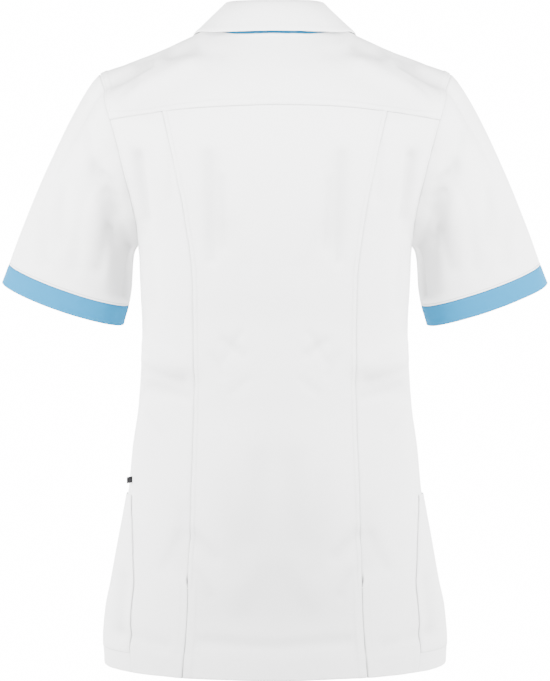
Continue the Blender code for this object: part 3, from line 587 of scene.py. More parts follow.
@dataclass(frozen=True)
class Armhole:
    """Points that all pieces round the armhole share, and how body and sleeve meet there."""

    places: Array
    points: Array
    walls: Array
    across: Array
    leaving: Array
    back_end: int = BACK_ARMHOLE_ROWS
    front_end: int = BACK_ARMHOLE_ROWS + SHOULDER_SEGMENTS

    @property
    def count(self) -> int:
        """Number of points round the armhole."""
        return len(self.places)

    @staticmethod
    def blend_quarters(count: int, column: Callable[[SleeveLine], Sequence[float]]) -> Array:
        """Blend the same values of the four sleeve lines round the armhole.

        Args:
            count: number of points round the armhole.
            column: picks the values out of a line.

        Returns:
            The blended values, a row for each point.
        """
        turn = spread(0, 2 * math.pi, count)[:-1, None]
        weights = (
            np.maximum(-np.cos(turn), 0) ** 2,
            np.maximum(np.sin(turn), 0) ** 2,
            np.maximum(np.cos(turn), 0) ** 2,
            np.maximum(-np.sin(turn), 0) ** 2,
        )
        lines = (SLEEVE_TOP, SLEEVE_BACK, SLEEVE_UNDER, SLEEVE_FRONT)
        return sum(w * np.array(column(line), float) for w, line in zip(weights, lines))

    @classmethod
    def on(cls, form: BodyForm, folds: "FoldField") -> "Armhole":
        """Work out the armhole on the body form, with its folds."""
        def height(turns: Array) -> Array:
            """Heights of the armhole at some turns."""
            places = form.armhole_places(turns)
            return form.point(places[:, 0], places[:, 1])[:, 2]

        back_yoke = halve(0.0, math.pi, lambda turn: height(turn)[0] < SIZES.yoke_end_height)
        front_yoke = halve(
            math.pi, 1.9 * math.pi,
            lambda turn: form.armhole_places(turn)[0, 0] > SIZES.front_yoke_angle,
        )
        turns = np.concatenate((
            spread(0, float(back_yoke), BACK_ARMHOLE_ROWS),
            spread(float(back_yoke), float(front_yoke), SHOULDER_SEGMENTS)[1:],
            spread(float(front_yoke), 2 * math.pi, FRONT_ARMHOLE_ROWS)[1:-1],
        ))
        places = form.armhole_places(turns)
        normals = form.normal(places[:, 0], places[:, 1])
        points = folds.on_body(form.point(places[:, 0], places[:, 1]), normals)
        tangents = unit(np.roll(points, -1, axis=0) - np.roll(points, 1, axis=0))
        leaving = unit(cls.blend_quarters(len(turns), lambda line: (line.out, line.back, line.up)))
        leaving = unit(leaving - tangents * np.sum(leaving * tangents, axis=1, keepdims=True))
        wall = unit(normals + unit(np.cross(tangents, leaving)))
        share = np.maximum(np.sum(wall * normals, axis=1, keepdims=True), LEAST_MITRE)
        across = unit(unit(np.cross(normals, tangents)) + leaving)
        return cls(places, points, wall / share, across, leaving)


class FoldField:
    """All creases of the cloth, as pushes along its normals."""

    def __init__(self, back: Iterable[Fold], front: Iterable[Fold], sleeve: Iterable[Fold]) -> None:
        """Keep the tables of the back, the front and the sleeves."""
        self.back = tuple(back)
        self.front = tuple(front)
        self.sleeve = tuple(sleeve)

    @staticmethod
    def depth(folds: Iterable[Fold], points: Array) -> Array:
        """Sum of the folds at the given points, seen square on."""
        x = np.abs(points[..., 0])
        z = points[..., 2]
        total = np.zeros_like(x)
        for fold in folds:
            start = np.array((fold.start_x, fold.start_z)) * MM
            run = np.array((fold.end_x, fold.end_z)) * MM - start
            share = ((x - start[0]) * run[0] + (z - start[1]) * run[1]) / (run @ run)
            inside = np.clip(share, 0, 1)
            off = np.hypot(x - start[0] - inside * run[0], z - start[1] - inside * run[1])
            total += fold.depth * MM * np.exp(-((off / (fold.width * MM)) ** 2))
        return total

    def reach(self, points: Array, normals: Array, back: Iterable[Fold], front: Iterable[Fold]) -> Array:
        """How far the folds of the side that they face push points outwards."""
        facing = normals[..., 1]
        depth = self.depth(back, points) * smooth_step(facing / FOLD_FACING)
        return depth + self.depth(front, points) * smooth_step(-facing / FOLD_FACING)

    @staticmethod
    def painted_trough_shade(reach: Array) -> Array:
        """Painted shade at the bottom of a trough: how much darker its colour is made as the fold deepens.
        """
        return FOLD_SHADE * smooth_step(-reach / FOLD_SHADE_DEPTH)

    def on_body(self, points: Array, normals: Array) -> Array:
        """Fold the cloth of the body."""
        return points + normals * self.reach(points, normals, self.back, self.front)[..., None]


class Edge(Enum):
    """The four edges of a cloth grid."""

    BOTTOM = "bottom"
    TOP = "top"
    START = "start"
    END = "end"


@dataclass
class ClothGrid:
    """The middle of one piece of cloth, as rows of points, with its outward normals."""

    points: Array
    closed: bool = False
    flip: float = 1.0
    walls: dict[tuple[int, int], Array] = field(default_factory=dict)
    # Painted shade of the piece's troughs and seams, one value or one for each point
    shade: Array | float = 0.0

    def normals(self) -> Array:
        """Outward normals, from the points themselves."""
        down = np.gradient(self.points, axis=0)
        if self.closed:
            around = np.roll(self.points, -1, axis=1) - np.roll(self.points, 1, axis=1)
        else:
            around = np.gradient(self.points, axis=1)
        return unit(np.cross(around, down)) * self.flip

    def along_rows(self) -> Array:
        """Distance of each point from the first column, along its row."""
        step = np.linalg.norm(np.diff(self.points, axis=1), axis=2)
        return np.concatenate((np.zeros((len(step), 1)), np.cumsum(step, axis=1)), axis=1)

    def along_columns(self) -> Array:
        """Distance of each point from the first row, along its column."""
        step = np.linalg.norm(np.diff(self.points, axis=0), axis=2)
        return np.concatenate((np.zeros((1, step.shape[1])), np.cumsum(step, axis=0)))

    def distance_from(self, edge: Edge) -> Array:
        """Distance of each point from an edge, along the cloth."""
        if edge is Edge.START:
            return self.along_rows()
        if edge is Edge.END:
            along = self.along_rows()
            return along[:, -1:] - along
        along = self.along_columns()
        return along if edge is Edge.BOTTOM else along[-1:] - along

    def raise_by(self, height: Array) -> None:
        """Move every point outwards by its own height."""
        self.points = self.points + self.normals() * height[..., None]

    def mirrored(self) -> "ClothGrid":
        """The same piece on the other side of the body."""
        walls = {cell: wall * MIRROR for cell, wall in self.walls.items()}
        return ClothGrid(self.points * MIRROR, self.closed, -self.flip, walls, self.shade)

    def cut(self) -> tuple[float, float, float]:
        """Width, length and area of the flat cut that the piece is sewn from."""
        points = self.points
        if self.closed:
            points = np.concatenate((points, points[:, :1]), axis=1)
        first = np.cross(points[1:, :-1] - points[:-1, :-1], points[:-1, 1:] - points[:-1, :-1])
        second = np.cross(points[1:, :-1] - points[1:, 1:], points[:-1, 1:] - points[1:, 1:])
        area = (np.linalg.norm(first, axis=2).sum() + np.linalg.norm(second, axis=2).sum()) / 2
        rows = np.linalg.norm(np.diff(points, axis=1), axis=2).sum(axis=1)
        columns = np.linalg.norm(np.diff(points, axis=0), axis=2).sum(axis=0)
        return float(rows.max()), float(columns.max()), float(area)

    def shell(self, name: str, wall: Array | float, rounding: float = 0.35) -> bpy.types.Object:
        """Make the piece a closed thin shell with rounded edges and a UV map in metres.

        Args:
            name: the piece's name.
            wall: thickness, one value or one for each point.
            rounding: how far its edges bulge, as a share of the thickness.

        Returns:
            The mesh object.
        """
        rows, columns = self.points.shape[:2]
        wall = np.broadcast_to(wall, (rows, columns))
        half = self.normals() * (wall / 2)[..., None]
        for cell, direction in self.walls.items():
            half[cell] = direction * wall[cell] / 2
        outer = (self.points + half).reshape(-1, 3)
        inner = (self.points - half).reshape(-1, 3)
        count = rows * columns
        grid = np.arange(count).reshape(rows, columns)
        if self.closed:
            grid = np.concatenate((grid, grid[:, :1]), axis=1)
        sheet = quads(grid)
        faces = [sheet, sheet[:, ::-1] + count]
        vertices = [outer, inner]
        base = 2 * count
        borders = [(grid[0], grid[1], True), (grid[-1], grid[-2], False)]
        if not self.closed:
            borders += [(grid[:, 0], grid[:, 1], False), (grid[:, -1], grid[:, -2], True)]
        flat = self.points.reshape(-1, 3)
        rims = []
        for border, inside, turned in borders:
            thick = np.linalg.norm(outer[border] - inner[border], axis=1, keepdims=True)
            middle = flat[border] + unit(flat[border] - flat[inside]) * thick * rounding
            line = np.arange(len(border)) + base
            base += len(border)
            rims.append(line)
            vertices.append(middle)
            for upper, lower in ((border, line), (line, border + count)):
                rim = np.stack((upper[:-1], upper[1:], lower[1:], lower[:-1]), axis=-1)
                faces.append(rim[:, ::-1] if turned else rim)
        if not self.closed:
            low, high, start, end = rims
            faces.append(np.array([
                (corner, first, corner + count, second) for corner, first, second in (
                    (grid[0, 0], start[0], low[0]), (grid[0, -1], low[-1], end[0]),
                    (grid[-1, 0], high[0], start[-1]), (grid[-1, -1], end[-1], high[-1]),
                )
            ]))
        faces = np.concatenate(faces)
        if self.flip < 0:
            faces = faces[:, ::-1]

        def everywhere(values: Array) -> Array:
            """Repeat the middle's values on both faces and the rims."""
            return np.concatenate([values, values] + [values[border] for border, _, _ in borders])

        uv = np.stack((self.along_rows(), self.along_columns()), axis=-1).reshape(-1, 2)
        made = make_mesh(name, settle(np.concatenate(vertices)), faces, everywhere(uv))
        # The painted shade goes onto the mesh, for the finish to darken the colour by
        shade = everywhere(np.broadcast_to(self.shade, (rows, columns)).ravel())
        layer = made.data.attributes.new(PAINTED_SHADE, "FLOAT", "POINT")
        layer.data.foreach_set("value", np.clip(shade, 0, 1).astype(np.float32))
        return made


def quads(grid: Array) -> Array:
    """Faces between the neighbours of a grid of point numbers."""
    return np.stack((grid[:-1, :-1], grid[:-1, 1:], grid[1:, 1:], grid[1:, :-1]), axis=-1).reshape(-1, 4)


def settle(points: Array) -> Array:
    """Shift points a little, the same way for every piece, as cloth that hangs nowhere quite evenly."""
    shift = np.zeros_like(points)
    for axis in range(3):
        for height, waves, seed in UNEVENNESS:
            shift[..., axis] += height * value_noise(points, np.array(waves) * MM, seed + axis)
    return points + shift


def make_mesh(name: str, vertices: Array, faces: Array, uv: Array | None = None) -> bpy.types.Object:
    """Make one smooth mesh object out of points and faces of equal size.

    Args:
        name: the object's name.
        vertices: points, in metres.
        faces: corner indices, a row for each face.
        uv: a place on the cloth for each point, in metres, if the piece has one.

    Returns:
        The object, linked to the scene.
    """
    mesh = bpy.data.meshes.new(name)
    mesh.from_pydata(vertices.tolist(), [], faces.tolist())
    if uv is not None:
        layer = mesh.uv_layers.new(name=CLOTH_MAP)
        corners = np.zeros(len(mesh.loops), np.int64)
        mesh.loops.foreach_get("vertex_index", corners)
        layer.data.foreach_set("uv", uv[corners].astype(np.float32).ravel())
    mesh.shade_smooth()
    made = bpy.data.objects.new(name, mesh)
    bpy.context.scene.collection.objects.link(made)
    return made


def patch(bottom: Array, top: Array, start: Array, end: Array, first_bent_row: int = 0) -> Array:
    """Fill four lines of places that share their ends with a smooth grid between them.

    Args:
        bottom: places of the first row.
        top: places of the last row.
        start: places of the first column.
        end: places of the last column.
        first_bent_row: the row from which the rows bend towards the top line.

    Returns:
        Places, rows by columns.
    """
    rows = np.linspace(0, 1, len(start))[:, None, None]
    columns = np.linspace(0, 1, len(bottom))[None, :, None]
    bent = (np.arange(len(start)) - first_bent_row) / (len(start) - 1 - first_bent_row)
    bent = np.maximum(bent, 0)[:, None, None] ** 2
    between = start[:, None] * (1 - columns) + end[:, None] * columns
    bottom_bend = bottom - (bottom[0] * (1 - columns) + bottom[-1] * columns)
    top_bend = top - (top[0] * (1 - columns) + top[-1] * columns)
    return between + bottom_bend * (1 - rows) + top_bend * bent


def denser(places: Array, near: Sequence[Edge], extra: int = 5, reach: int = 3) -> Array:
    """Split the rows or columns next to some edges into smaller ones.

    Args:
        places: a grid of places or points.
        near: the edges.
        extra: parts that each row or column is split into.
        reach: how many of them are split at each edge.

    Returns:
        The denser grid.
    """
    for axis, low, high in ((0, Edge.BOTTOM, Edge.TOP), (1, Edge.START, Edge.END)):
        last = places.shape[axis] - 1
        index = set(range(last + 1))
        if low in near:
            index |= {i / extra for i in range(reach * extra)}
        if high in near:
            index |= {last - i / extra for i in range(reach * extra)}
        at = np.array(sorted({round(value, 6) for value in index}))
        base = np.minimum(at.astype(int), last - 1)
        share = (at - base).reshape((-1, 1, 1) if axis == 0 else (1, -1, 1))
        places = np.take(places, base, axis) * (1 - share) + np.take(places, base + 1, axis) * share
    return places


def mirror_places(places: Array) -> Array:
    """The same places on the other side of the body."""
    return np.stack((math.pi - places[..., 0], places[..., 1]), axis=-1)


def line(start: Array, end: Array, segments: int) -> Array:
    """Evenly spaced places from one place to another."""
    return np.linspace(start, end, segments + 1)


@dataclass(frozen=True)
class SeamRelief:
    """How sewing shapes the cloth beside one edge: the roll, the padded turning, its stitches and painted
    shade.
    """

    edge: Edge
    roll: float = 0.5 * MM
    roll_reach: float = 1.3 * MM
    turning: float = 6 * MM
    lift: float = 0.3 * MM
    stitch_rows: tuple[float, ...] = ()
    groove: float = 0.25 * MM
    groove_width: float = 0.8 * MM
    pucker: float = 0.3 * MM
    pucker_reach: float = 13 * MM
    pucker_size: float = 8 * MM
    pucker_seed: int = 5
    turning_fade: float = 2.5 * MM
    # Painted shade of the seam's valley: how dark at the edge, how far it reaches, and a little along each
    # stitch row
    shade: float = 0.0
    shade_reach: float = 1.5 * MM
    stitch_shade: float = 0.04
    span: tuple[float, float] = (0.0, 1.0)
    span_blend: float = 0.015
    under: float = 0.0

    def height(self, grid: ClothGrid) -> Array:
        """Height that the sewing adds at each point of the piece."""
        away = grid.distance_from(self.edge) - self.under
        height = -self.roll * (1 - smooth_step(away / self.roll_reach))
        rise = smooth_step(away / self.roll_reach)
        rise = rise * (1 - smooth_step((away - self.turning) / self.turning_fade))
        height = height + self.lift * rise
        for row in self.stitch_rows:
            height = height - self.groove * np.exp(-(((away - row) / self.groove_width) ** 2))
        wave = value_noise(grid.points, (self.pucker_size,) * 3, self.pucker_seed)
        height = height + self.pucker * wave * np.exp(-((away / self.pucker_reach) ** 2))
        return height * self.share(grid)

    def painted_seam_shade(self, grid: ClothGrid) -> Array:
        """Painted shade: how much of the light the seam's valley and its stitch grooves keep off each point.
        """
        away = grid.distance_from(self.edge) - self.under
        dark = self.shade * (1 - smooth_step(away / self.shade_reach))
        for row in self.stitch_rows:
            dark = dark + self.stitch_shade * np.exp(-(((away - row) / self.groove_width) ** 2))
        return dark * self.share(grid)

    def share(self, grid: ClothGrid) -> Array:
        """How fully the sewing acts at each point, along the span of the edge that it covers."""
        rows, columns = grid.points.shape[:2]
        along_rows = self.edge in (Edge.BOTTOM, Edge.TOP)
        place = np.linspace(0, 1, columns)[None] if along_rows else np.linspace(0, 1, rows)[:, None]
        low, high = self.span
        rise = smooth_step((place - low) / self.span_blend + 1)
        rise = rise * smooth_step((high - place) / self.span_blend + 1)
        return np.broadcast_to(rise, (rows, columns))


def press(grid: ClothGrid, reliefs: Sequence[SeamRelief]) -> None:
    """Shape a piece by all the sewing round it, and add the painted shade of its seams."""
    height = sum(relief.height(grid) for relief in reliefs)
    grid.shade = grid.shade + sum(relief.painted_seam_shade(grid) for relief in reliefs)
    grid.raise_by(height)


class StitchKind(Enum):
    """The two ways in which thread lies on the cloth."""

    RUNNING = "running"
    SATIN = "satin"


@dataclass(frozen=True)
class Stitch:
    """Size and spacing of one kind of stitch."""

    length: float
    width: float
    height: float
    spacing: float
    turn: float

    def shape(self, name: str) -> bpy.types.Object:
        """Make one stitch, an oval bead of thread along X."""
        sides, rings = BEAD_SIDES, len(BEAD)
        around = np.linspace(0, 2 * math.pi, sides, endpoint=False)
        points = [
            (
                along * self.length,
                math.cos(turn) * girth * self.width / 2,
                math.sin(turn) * girth * self.height / 2,
            )
            for along, girth in BEAD for turn in around
        ]
        points += [(-self.length / 2, 0, 0), (self.length / 2, 0, 0)]
        faces = []
        for j in range(sides):
            after = (j + 1) % sides
            for first in range(0, (rings - 1) * sides, sides):
                faces.append((first + j, first + after, first + after + sides, first + j + sides))
            faces.append((rings * sides, after, j))
            faces.append((rings * sides + 1, (rings - 1) * sides + j, (rings - 1) * sides + after))
        mesh = bpy.data.meshes.new(name)
        mesh.from_pydata(points, [], faces)
        mesh.shade_smooth()
        return bpy.data.objects.new(name, mesh)


# Rings of one stitch: how far along it, and how thick, as shares of its length and thickness
BEAD = ((-0.42, 0.55), (-0.2, 0.95), (0.2, 0.95), (0.42, 0.55))
BEAD_SIDES = 6
STITCH_SWAY = 0.06
STITCH_UNEVENNESS = 0.08
STITCHES = {
    StitchKind.RUNNING: Stitch(2.3 * MM, 0.55 * MM, 0.4 * MM, 2.9 * MM, 0.0),
    StitchKind.SATIN: Stitch(1.7 * MM, 0.42 * MM, 0.4 * MM, 0.42 * MM, math.pi / 2),
}


@dataclass
class StitchLine:
    """One line of stitching: where it runs, which way is out, and its kind."""

    points: Array
    normals: Array
    kind: StitchKind = StitchKind.RUNNING


@dataclass
class Workshop:
    """What all pieces share: the form, its folds, the armhole, the finishes and the stitching."""

    form: BodyForm
    folds: FoldField
    armhole: Armhole
    finishes: "Finishes"
    nodes: "SewingNodes"
    stitching: dict[str, list[StitchLine]] = field(default_factory=dict)

    def body_grid(self, places: Array, flip: float = 1.0) -> ClothGrid:
        """Lay a grid of places on the folded and slightly uneven body form, with painted shade in its
        troughs.
        """
        angle, level = places[..., 0], places[..., 1]
        normals = self.form.normal(angle, level)
        smooth = self.form.point(angle, level)
        reach = self.folds.reach(smooth, normals, self.folds.back, self.folds.front)
        return ClothGrid(smooth + normals * reach[..., None], flip=flip, shade=self.folds.painted_trough_shade(reach))

    def cloth_at(self, angle: Array, level: Array) -> tuple[Array, Array]:
        """Points of the folded body at angles and levels, and the form's normals there."""
        normals = self.form.normal(angle, level)
        return self.folds.on_body(self.form.point(angle, level), normals), normals

    def fit(self, made: bpy.types.Object, slot: str, *nodes: str) -> None:
        """Give a piece the finish of its slot, hang it on the body and hide the solids that it stands for.
        """
        if not made.data.materials:
            made.data.materials.append(self.finishes.for_slot(slot))
        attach(made, BODY)
        if nodes:
            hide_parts(*nodes)
        LOG.info("%s: %d faces", made.name, len(made.data.polygons))

    def lay(self, group: str, points: Array, normals: Array, kind: StitchKind) -> None:
        """Keep a line of stitching for the mesh that its group is gathered in."""
        self.stitching.setdefault(group, []).append(StitchLine(points, normals, kind))

    def join_armhole(self, grid: ClothGrid, cells: Iterable[tuple[int, int]]) -> None:
        """Turn the walls of the cells on the armhole the way that the sleeve's walls turn."""
        for cell in cells:
            away = np.linalg.norm(self.armhole.points - grid.points[cell], axis=1)
            grid.walls[cell] = self.armhole.walls[int(np.argmin(away))]

    def sew(
        self,
        group: str,
        grid: ClothGrid,
        edge: Edge,
        distance: float,
        span: tuple[float, float] = (0.0, 1.0),
        kind: StitchKind = StitchKind.RUNNING,
    ) -> None:
        """Add a line of stitching beside one edge of a piece.

        Args:
            group: the mesh that the stitches are gathered in.
            grid: the piece, in its final shape.
            edge: the edge that the line follows.
            distance: how far inside the edge it runs.
            span: the stretch of the edge that is sewn, as shares of its length.
            kind: how the thread lies.
        """
        points, normals = line_beside(grid, edge, distance)
        first, last = (int(round(share * (len(points) - 1))) for share in span)
        points = points[first:last + 1]
        normals = normals[first:last + 1]
        if grid.closed and edge in (Edge.BOTTOM, Edge.TOP):
            points = np.concatenate((points, points[:1]))
            normals = np.concatenate((normals, normals[:1]))
        self.lay(group, points + normals * (SIZES.cloth / 2), normals, kind)

    def dress(
        self, name: str, grid: ClothGrid, wall: Array | float, *hangs_from: str, slot: str = "white_cloth",
    ) -> None:
        """Make a piece's shell, give it its finish and say what it stands for.

        Args:
            name: the name of the solid that it dresses.
            grid: the piece's cloth.
            wall: its thickness.
            hangs_from: the solids that hold it; not used.
            slot: the record's slot.
        """
        made = grid.shell(f"{name}_cloth", wall)
        self.fit(made, slot, name)


def line_beside(grid: ClothGrid, edge: Edge, distance: float) -> tuple[Array, Array]:
    """Points and normals of the line at a distance inside one edge of a piece."""
    away = grid.distance_from(edge)
    normals = grid.normals()
    points = grid.points
    if edge in (Edge.BOTTOM, Edge.TOP):
        away, points, normals = away.T, points.swapaxes(0, 1), normals.swapaxes(0, 1)
    if edge in (Edge.END, Edge.TOP):
        away, points, normals = away[:, ::-1], points[:, ::-1], normals[:, ::-1]
    found = []
    for row_away, row_points, row_normals in zip(away, points, normals):
        both = np.concatenate((row_points, row_normals), axis=1)
        found.append([np.interp(distance, row_away, both[:, axis]) for axis in range(6)])
    found = np.array(found)
    return found[:, :3], unit(found[:, 3:])


def trim(grid: ClothGrid, edge: Edge, amount: Array | float) -> None:
    """Draw one edge of a piece back from its seam, or reach under its neighbour where below 0.

    Args:
        grid: the piece.
        edge: the edge that moves, with the cloth beside it.
        amount: how far, one value or one for each point of the edge.
    """
    axis = 1 if edge in (Edge.START, Edge.END) else 0
    inwards = unit(np.gradient(grid.points, axis=axis)) * (1 if edge in (Edge.START, Edge.BOTTOM) else -1)
    amount = np.reshape(amount, (-1, 1) if axis else (1, -1))
    shift = amount * (1 - smooth_step(grid.distance_from(edge) / TRIM_REACH))
    grid.points = grid.points + inwards * shift[..., None]


def hem_wall(grid: ClothGrid) -> Array:
    """Thickness of a body piece: folded double along the hem."""
    away = grid.distance_from(Edge.BOTTOM)
    return SIZES.cloth + (SIZES.hem_fold - SIZES.cloth) * (1 - smooth_step((away - SIZES.hem_height) / MM))


HEM_RELIEF = SeamRelief(
    Edge.BOTTOM, roll=0.2 * MM, turning=SIZES.hem_height, lift=0.4 * MM,
    stitch_rows=(SIZES.hem_height - 2 * MM,), groove=0.6 * MM, pucker=0.4 * MM, pucker_reach=34 * MM,
)


def armhole_relief(first: float) -> SeamRelief:
    """How a body piece is sewn over the sleeve, from this share of its outer edge upwards."""
    return SeamRelief(
        Edge.START, roll=0.2 * MM, roll_reach=0.9 * MM, lift=0.8 * MM, turning=SIZES.armhole_stitch,
        stitch_rows=(SIZES.armhole_stitch,), shade=0.2, span=(first, 1),
    )


@dataclass
class Back:
    """The centre back panel, the two side backs and the seams and vents between them."""

    shop: Workshop
    vent_start: float = -612 * MM
    vent_gap: float = 0.2 * MM
    vent_lap: float = 4 * MM
    tack_height: float = -615.5 * MM
    tack_half_width: float = 2.4 * MM
    tack_points: int = 7
    tack_lift: float = 0.55 * MM
    seam_stitch: float = 4.5 * MM
    seam_margin: float = 1.5 * MM
    vent_stitch: float = 9.0 * MM

    def vent_trim(self, levels: Array) -> Array:
        """Half of the opening between the panels, which widens down the vent."""
        share = smooth_step((SIZES.vent_top - levels) / (SIZES.vent_top - SIZES.hem))
        return (self.vent_gap + (SIZES.vent_gap_at_hem - self.vent_gap) * share) / 2

    def vent_span(self, seam: Array) -> float:
        """Share of the long seam's rows that lies below the bar tack."""
        return float(np.mean(seam[:, 1] < self.vent_start))

    def build(self) -> None:
        """Build the three panels and sew them."""
        form = self.shop.form
        seam = form.princess_line()
        outer_yoke, inner_yoke = yoke_line(self.shop)
        far_seam = mirror_places(seam)
        top = np.concatenate((inner_yoke, mirror_places(inner_yoke[:-1][::-1])))
        bottom = line(seam[0], far_seam[0], CENTRE_BACK_COLUMNS)
        places = denser(patch(bottom, top, seam, far_seam), list(Edge))
        vent = self.vent_trim(places[:, 0, 1])
        share = self.vent_span(places[:, 0])
        self._centre(places, vent, share)

        armhole = self.shop.armhole
        outer = np.concatenate((form.side_line(), armhole.places[1:armhole.back_end + 1]))
        bottom = line(outer[0], seam[0], SIDE_BACK_COLUMNS)
        places = denser(patch(bottom, outer_yoke, outer, seam), list(Edge))
        above = smooth_step((places[:, -1, 1] - self.vent_start) / (4 * MM))
        self._sides(places, -self.vent_lap * (1 - above) - TUCK * above, share)
        self._bar_tacks()

    def _bar_tacks(self) -> None:
        """Close the top of each vent with a short bar of stitches across it."""
        form = self.shop.form
        middle = float(form.princess_seam_x(self.tack_height))
        x = middle + np.linspace(-1, 1, self.tack_points) * self.tack_half_width
        points, normals = self.shop.cloth_at(*form.place_at(x, self.tack_height, 1))
        points = points + normals * (SIZES.cloth / 2 + self.tack_lift)
        for flip in (np.ones(3), MIRROR):
            self.shop.lay("back_stitches", points * flip, normals * flip, StitchKind.SATIN)

    def _centre(self, places: Array, vent: Array, share: float) -> None:
        """Build the centre back panel."""
        shop = self.shop
        grid = shop.body_grid(places)
        trim(grid, Edge.START, vent * (places[:, 0, 1] < self.vent_start))
        trim(grid, Edge.END, vent * (places[:, -1, 1] < self.vent_start))
        trim(grid, Edge.TOP, -TUCK)
        reliefs = [HEM_RELIEF, SeamRelief(Edge.TOP, **UNDER)]
        for edge in (Edge.START, Edge.END):
            reliefs.append(SeamRelief(
                edge, roll=0.2 * MM, roll_reach=0.9 * MM, lift=0.9 * MM,
                turning=self.seam_stitch - self.seam_margin, stitch_rows=(self.seam_stitch,), shade=0.15,
                span=(share, 1),
            ))
            reliefs.append(SeamRelief(
                edge, roll=0.2 * MM, lift=0.5 * MM, turning=self.vent_stitch,
                stitch_rows=(self.vent_stitch,), shade=0.2, span=(0, share),
            ))
        press(grid, reliefs)
        shop.dress("back_centre", grid, hem_wall(grid), "yoke")
        shop.sew("back_stitches", grid, Edge.BOTTOM, HEM_RELIEF.stitch_rows[0], SEWN_HEM)
        for edge in (Edge.START, Edge.END):
            shop.sew("back_stitches", grid, edge, self.seam_stitch, (share, 1))
            shop.sew("back_stitches", grid, edge, self.vent_stitch, (0, share))

    def _sides(self, places: Array, lap: Array, share: float) -> None:
        """Build the two side backs, which reach under the centre panel by the lap."""
        shop = self.shop
        grid = shop.body_grid(places)
        at_armhole = places[:, 0, 1] >= SIZES.underarm - JUST_UNDER
        shop.join_armhole(grid, [(int(i), 0) for i in np.flatnonzero(at_armhole)])
        trim(grid, Edge.END, lap)
        trim(grid, Edge.TOP, -TUCK)
        armhole_share = float(np.mean(~at_armhole))
        press(grid, [
            HEM_RELIEF,
            SeamRelief(Edge.TOP, **UNDER),
            SeamRelief(Edge.END, **UNDER, span=(share, 1)),
            SeamRelief(
                Edge.END, roll=1.5 * MM, roll_reach=0.9 * MM, lift=0.5 * MM, turning=self.vent_stitch,
                stitch_rows=(self.vent_stitch,), shade=0.85, span=(0, share), under=self.vent_lap,
            ),
            armhole_relief(armhole_share),
            SeamRelief(Edge.START, roll=0.2 * MM, lift=0.3 * MM, shade=0.05, span=(0, armhole_share)),
        ])
        for side, piece in (("left", grid), ("right", grid.mirrored())):
            shop.dress(f"side_back_{side}", piece, hem_wall(piece), "yoke")
            group = f"side_back_{side}_stitches"
            shop.sew(group, piece, Edge.BOTTOM, HEM_RELIEF.stitch_rows[0], SEWN_HEM)
            shop.sew(group, piece, Edge.END, self.vent_stitch + self.vent_lap, (0, share))
            shop.sew(group, piece, Edge.START, SIZES.armhole_stitch, (armhole_share, 1))


def yoke_line(shop: Workshop) -> tuple[Array, Array]:
    """Places of the yoke's seam from the armhole to the long seam, and on to the centre back."""
    end = shop.armhole.places[shop.armhole.back_end]
    end_x = float(shop.form.point(*end)[0])
    princess_x = PRINCESS_SEAM[-1].place * MM
    outer = shop.form.yoke_seam_place(spread(end_x, princess_x, SIDE_BACK_COLUMNS))
    outer[0] = end
    inner = shop.form.yoke_seam_place(spread(princess_x, 0, CENTRE_BACK_COLUMNS // 2))
    return outer, inner


@dataclass
class Yoke:
    """The yoke over both shoulders."""

    shop: Workshop
    stitch: float = 1.8 * MM

    def build(self) -> None:
        """Build the yoke and sew it down on the panels below."""
        shop = self.shop
        armhole = shop.armhole
        shoulder = armhole.places[armhole.back_end:armhole.front_end + 1][::-1]
        outer_yoke, inner_yoke = yoke_line(shop)
        left = np.concatenate((shoulder, outer_yoke[1:], inner_yoke[1:]))
        outer = np.concatenate((left, mirror_places(left[:-1][::-1])))
        neck = np.stack((outer[:, 0], np.full(len(outer), SIZES.nape)), axis=1)
        share = np.linspace(0, 1, YOKE_ROWS + 1)[:, None, None]
        places = denser(outer[None] * (1 - share) + neck[None] * share, list(Edge))
        grid = shop.body_grid(places)
        columns = grid.points.shape[1]
        shoulder_x = abs(grid.points[0, :, 0])
        end_x = float(shop.form.point(*armhole.places[armhole.back_end])[0])
        on_armhole = (shoulder_x >= end_x - 1e-6) | (grid.points[0, :, 1] < 0)
        cells = [(0, int(j)) for j in np.flatnonzero(on_armhole)]
        shop.join_armhole(grid, [cell for cell in cells if cell[1] < columns / 2])
        for _, j in cells:
            if j >= columns / 2 and (0, columns - 1 - j) in grid.walls:
                grid.walls[(0, j)] = grid.walls[(0, columns - 1 - j)] * MIRROR
        first = float(np.argmax(~on_armhole)) / columns
        stretches = (
            ((first, 1 - first), self.stitch),
            ((0, first), SIZES.armhole_stitch),
            ((1 - first, 1), SIZES.armhole_stitch),
        )
        reliefs = [SeamRelief(Edge.TOP, roll=0.0, lift=0.6 * MM, turning=1.4 * MM)]
        for span, row in stretches:
            reliefs.append(SeamRelief(
                Edge.BOTTOM, roll=0.1 * MM, roll_reach=0.7 * MM, lift=0.7 * MM, turning=7 * MM,
                stitch_rows=(row,), shade=0.15, span=span,
            ))
        for edge in (Edge.START, Edge.END):
            reliefs.append(SeamRelief(
                edge, roll=0.15 * MM, lift=0.4 * MM, stitch_rows=(self.stitch,), shade=0.15,
            ))
        press(grid, reliefs)
        shop.dress("yoke", grid, SIZES.cloth)
        for span, row in stretches:
            shop.sew("yoke_stitches", grid, Edge.BOTTOM, row, span)
        for edge in (Edge.START, Edge.END):
            shop.sew("yoke_stitches", grid, edge, self.stitch)


